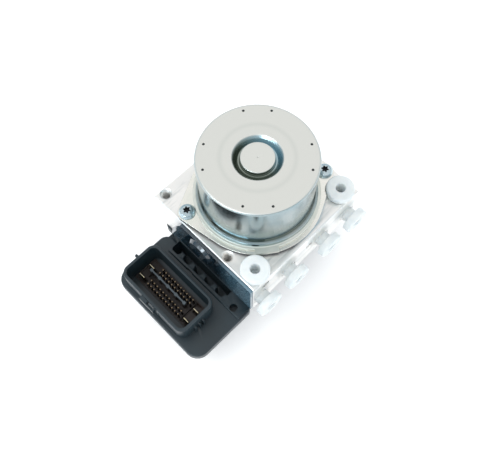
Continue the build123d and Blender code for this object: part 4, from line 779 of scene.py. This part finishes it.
blockLow, blockHigh = (Vector(corner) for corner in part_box("hydraulic_block"))
for number in (1, 2):
    node = f"top_port_plug_{number}"
    centre = plugCentre(node)
    buildPlug(node, plug["topNeck"], Matrix.Translation((centre.x, centre.y, blockHigh.z)))
for number in (1, 2, 3, 4):
    node = f"side_port_plug_{number}"
    centre = plugCentre(node)
    place = Matrix.Translation((centre.x, blockLow.y, centre.z)) @ Matrix.Rotation(math.pi / 2, 4, "X")
    buildPlug(node, plug["sideNeck"], place)
print("transport plugs built")

# threads in the mount holes, as a thin sleeve against each hole's wall
mountThread = dict(
    outer=3.29, crest=2.75, root=3.2, pitch=1.25, turns=9, top=69.6, segments=40,
    places=(("threadBackLeft", -45.2, 44.3), ("threadBackRight", 45.2, 44.3), ("threadSide", -47.3, -19.6)),
)


def buildMountThreads():
    t = mountThread
    bottom = t["top"] - t["pitch"] * t["turns"]
    section = [(t["outer"], bottom, 0), (t["outer"], t["top"], 0)]
    for turn in range(t["turns"]):
        level = t["top"] - turn * t["pitch"]
        section += [(t["root"], level, 0), (t["crest"], level - t["pitch"] / 2, 0)]
    section.append((t["root"], bottom, 0))
    for name, x, y in t["places"]:
        mesh = meshFrom(name, latheBuild(section, t["segments"], True))
        smoothMesh(mesh)
        mesh.transform(Matrix.Translation(Vector((x, y, 0)) * mm))
        placePiece(name, mesh, "modulator", "machined_aluminium")


buildMountThreads()
print("mount threads built")

# rounded copies of the moulded and machined pieces, each with its edges' rounding in mm
edgeWidths = dict(
    ecu_housing=0.45, ecu_cover=0.3, hydraulic_block=0.25, motor_end_plate=0.4, terminal_carrier=0.12,
    power_terminals=0.12, reservoir_caps=0.2, pump_plug_1=0.2, pump_plug_2=0.2, ecu_screws=0.2,
)
shieldEdge = dict(width=0.4, material=glossyShield, segments=3)
for node, width in edgeWidths.items():
    softenedCopy(node, width)
softenedCopy("side_shield", **shieldEdge)
print("rounded copies built:", len(edgeWidths) + 1)

# camera
view = dict(
    azimuth=-44.06, elevation=66.395, roll=-0.76, distance=432.55, focalPixels=620.0,
    imageWidth=489, imageHeight=450, aimColumn=256.673, aimRow=193.274, aimHeight=71.0,
)


def buildCamera():
    azimuth, elevation, roll = (math.radians(view[k]) for k in ("azimuth", "elevation", "roll"))
    back = Vector((
        math.sin(azimuth) * math.cos(elevation),
        -math.cos(azimuth) * math.cos(elevation),
        math.sin(elevation),
    ))
    level = Vector((math.cos(azimuth), math.sin(azimuth), 0))
    above = back.cross(level)
    right = level * math.cos(roll) + above * math.sin(roll)
    up = above * math.cos(roll) - level * math.sin(roll)
    perPixel = view["distance"] / view["focalPixels"]
    across = (view["aimColumn"] - view["imageWidth"] / 2) * perPixel
    upwards = -(view["aimRow"] - view["imageHeight"] / 2) * perPixel
    spot = Vector((0, 0, view["aimHeight"])) + back * view["distance"] - right * across - up * upwards
    data = bpy.data.cameras.new("studioCamera")
    data.sensor_width = 36.0
    data.sensor_fit = "HORIZONTAL"
    data.lens = view["focalPixels"] / view["imageWidth"] * data.sensor_width
    data.clip_start = 0.01
    data.clip_end = 50.0
    camera = bpy.data.objects.new("studioCamera", data)
    turn = Matrix((right, up, back)).transposed().to_4x4()
    camera.matrix_world = Matrix.Translation(spot * mm) @ turn
    bpy.context.scene.collection.objects.link(camera)
    bpy.context.scene.camera = camera


buildCamera()

# white floor, a light tent that is bluer and darker towards the horizon, two soft lamps and a strip
# that only glints
studio = dict(
    floorSize=6.0, floorColour="#FDFEFF", floorGlow=0.26, tent=1.0,
    tentStops=[(0.0, "#7F96A3"), (0.16, "#B7CBD6"), (0.42, "#F4F8FA"), (0.6, "#FFFFFF")],
    # name, power, length, width, place, colour, whether it lights surfaces, whether it glints in them
    lamps=(
        ("keyLamp", 4.5, 0.8, 0.8, (-0.5, 0.6, 1.2), "#FFFFFF", True, False),
        ("fillLamp", 2.5, 1.2, 1.2, (-0.9, -0.5, 1.1), "#FFFFFF", True, False),
        ("glintStrip", 4.5, 1.0, 0.12, (-0.96, -0.06, 0.55), "#DCEBF5", False, True),
    ),
)


def buildStudio():
    build = bmesh.new()
    bmesh.ops.create_grid(build, x_segments=1, y_segments=1, size=studio["floorSize"] / 2)
    floor = bpy.data.objects.new("studioFloor", meshFrom("studioFloor", build))
    bpy.context.scene.collection.objects.link(floor)
    white = toLinear(studio["floorColour"])
    glow = {"Emission Color": white, "Emission Strength": studio["floorGlow"], "Specular IOR Level": 0.0}
    material = startMaterial("paleFloor", studio["floorColour"], 0.0, 0.7, glow)[0]
    floor.data.materials.append(material)
    world = bpy.data.worlds.new("studioTent")
    world.use_nodes = True
    tree = world.node_tree
    tent = tree.nodes["Background"]
    direction = addNode(tree, "ShaderNodeTexCoord").outputs["Generated"]
    rise = addNode(tree, "ShaderNodeSeparateXYZ", {0: direction}).outputs[2]
    light = addNode(tree, "ShaderNodeValToRGB", {"Fac": rise}, studio["tentStops"]).outputs[0]
    # straight sight of the tent stays white, so that only its reflections carry the darker horizon
    sight = addNode(tree, "ShaderNodeLightPath").outputs["Is Camera Ray"]
    seen = addNode(tree, "ShaderNodeMix", {0: sight, 6: light, 7: white}, **mixed).outputs[2]
    setSockets(tree, tent, {"Color": seen, "Strength": studio["tent"]})
    bpy.context.scene.world = world
    bpy.context.scene.view_settings.view_transform = "Standard"
    for name, power, length, width, spot, colour, lights, glints in studio["lamps"]:
        data = bpy.data.lights.new(name, "AREA")
        data.energy = power
        data.shape = "RECTANGLE"
        data.size = length
        data.size_y = width
        data.color = toLinear(colour)[:3]
        lamp = bpy.data.objects.new(name, data)
        lamp.visible_diffuse = lights
        lamp.visible_glossy = glints
        lamp.location = spot
        lamp.rotation_euler = Vector(spot).to_track_quat("Z", "Y").to_euler()
        bpy.context.scene.collection.objects.link(lamp)


buildStudio()
print("camera and studio set")
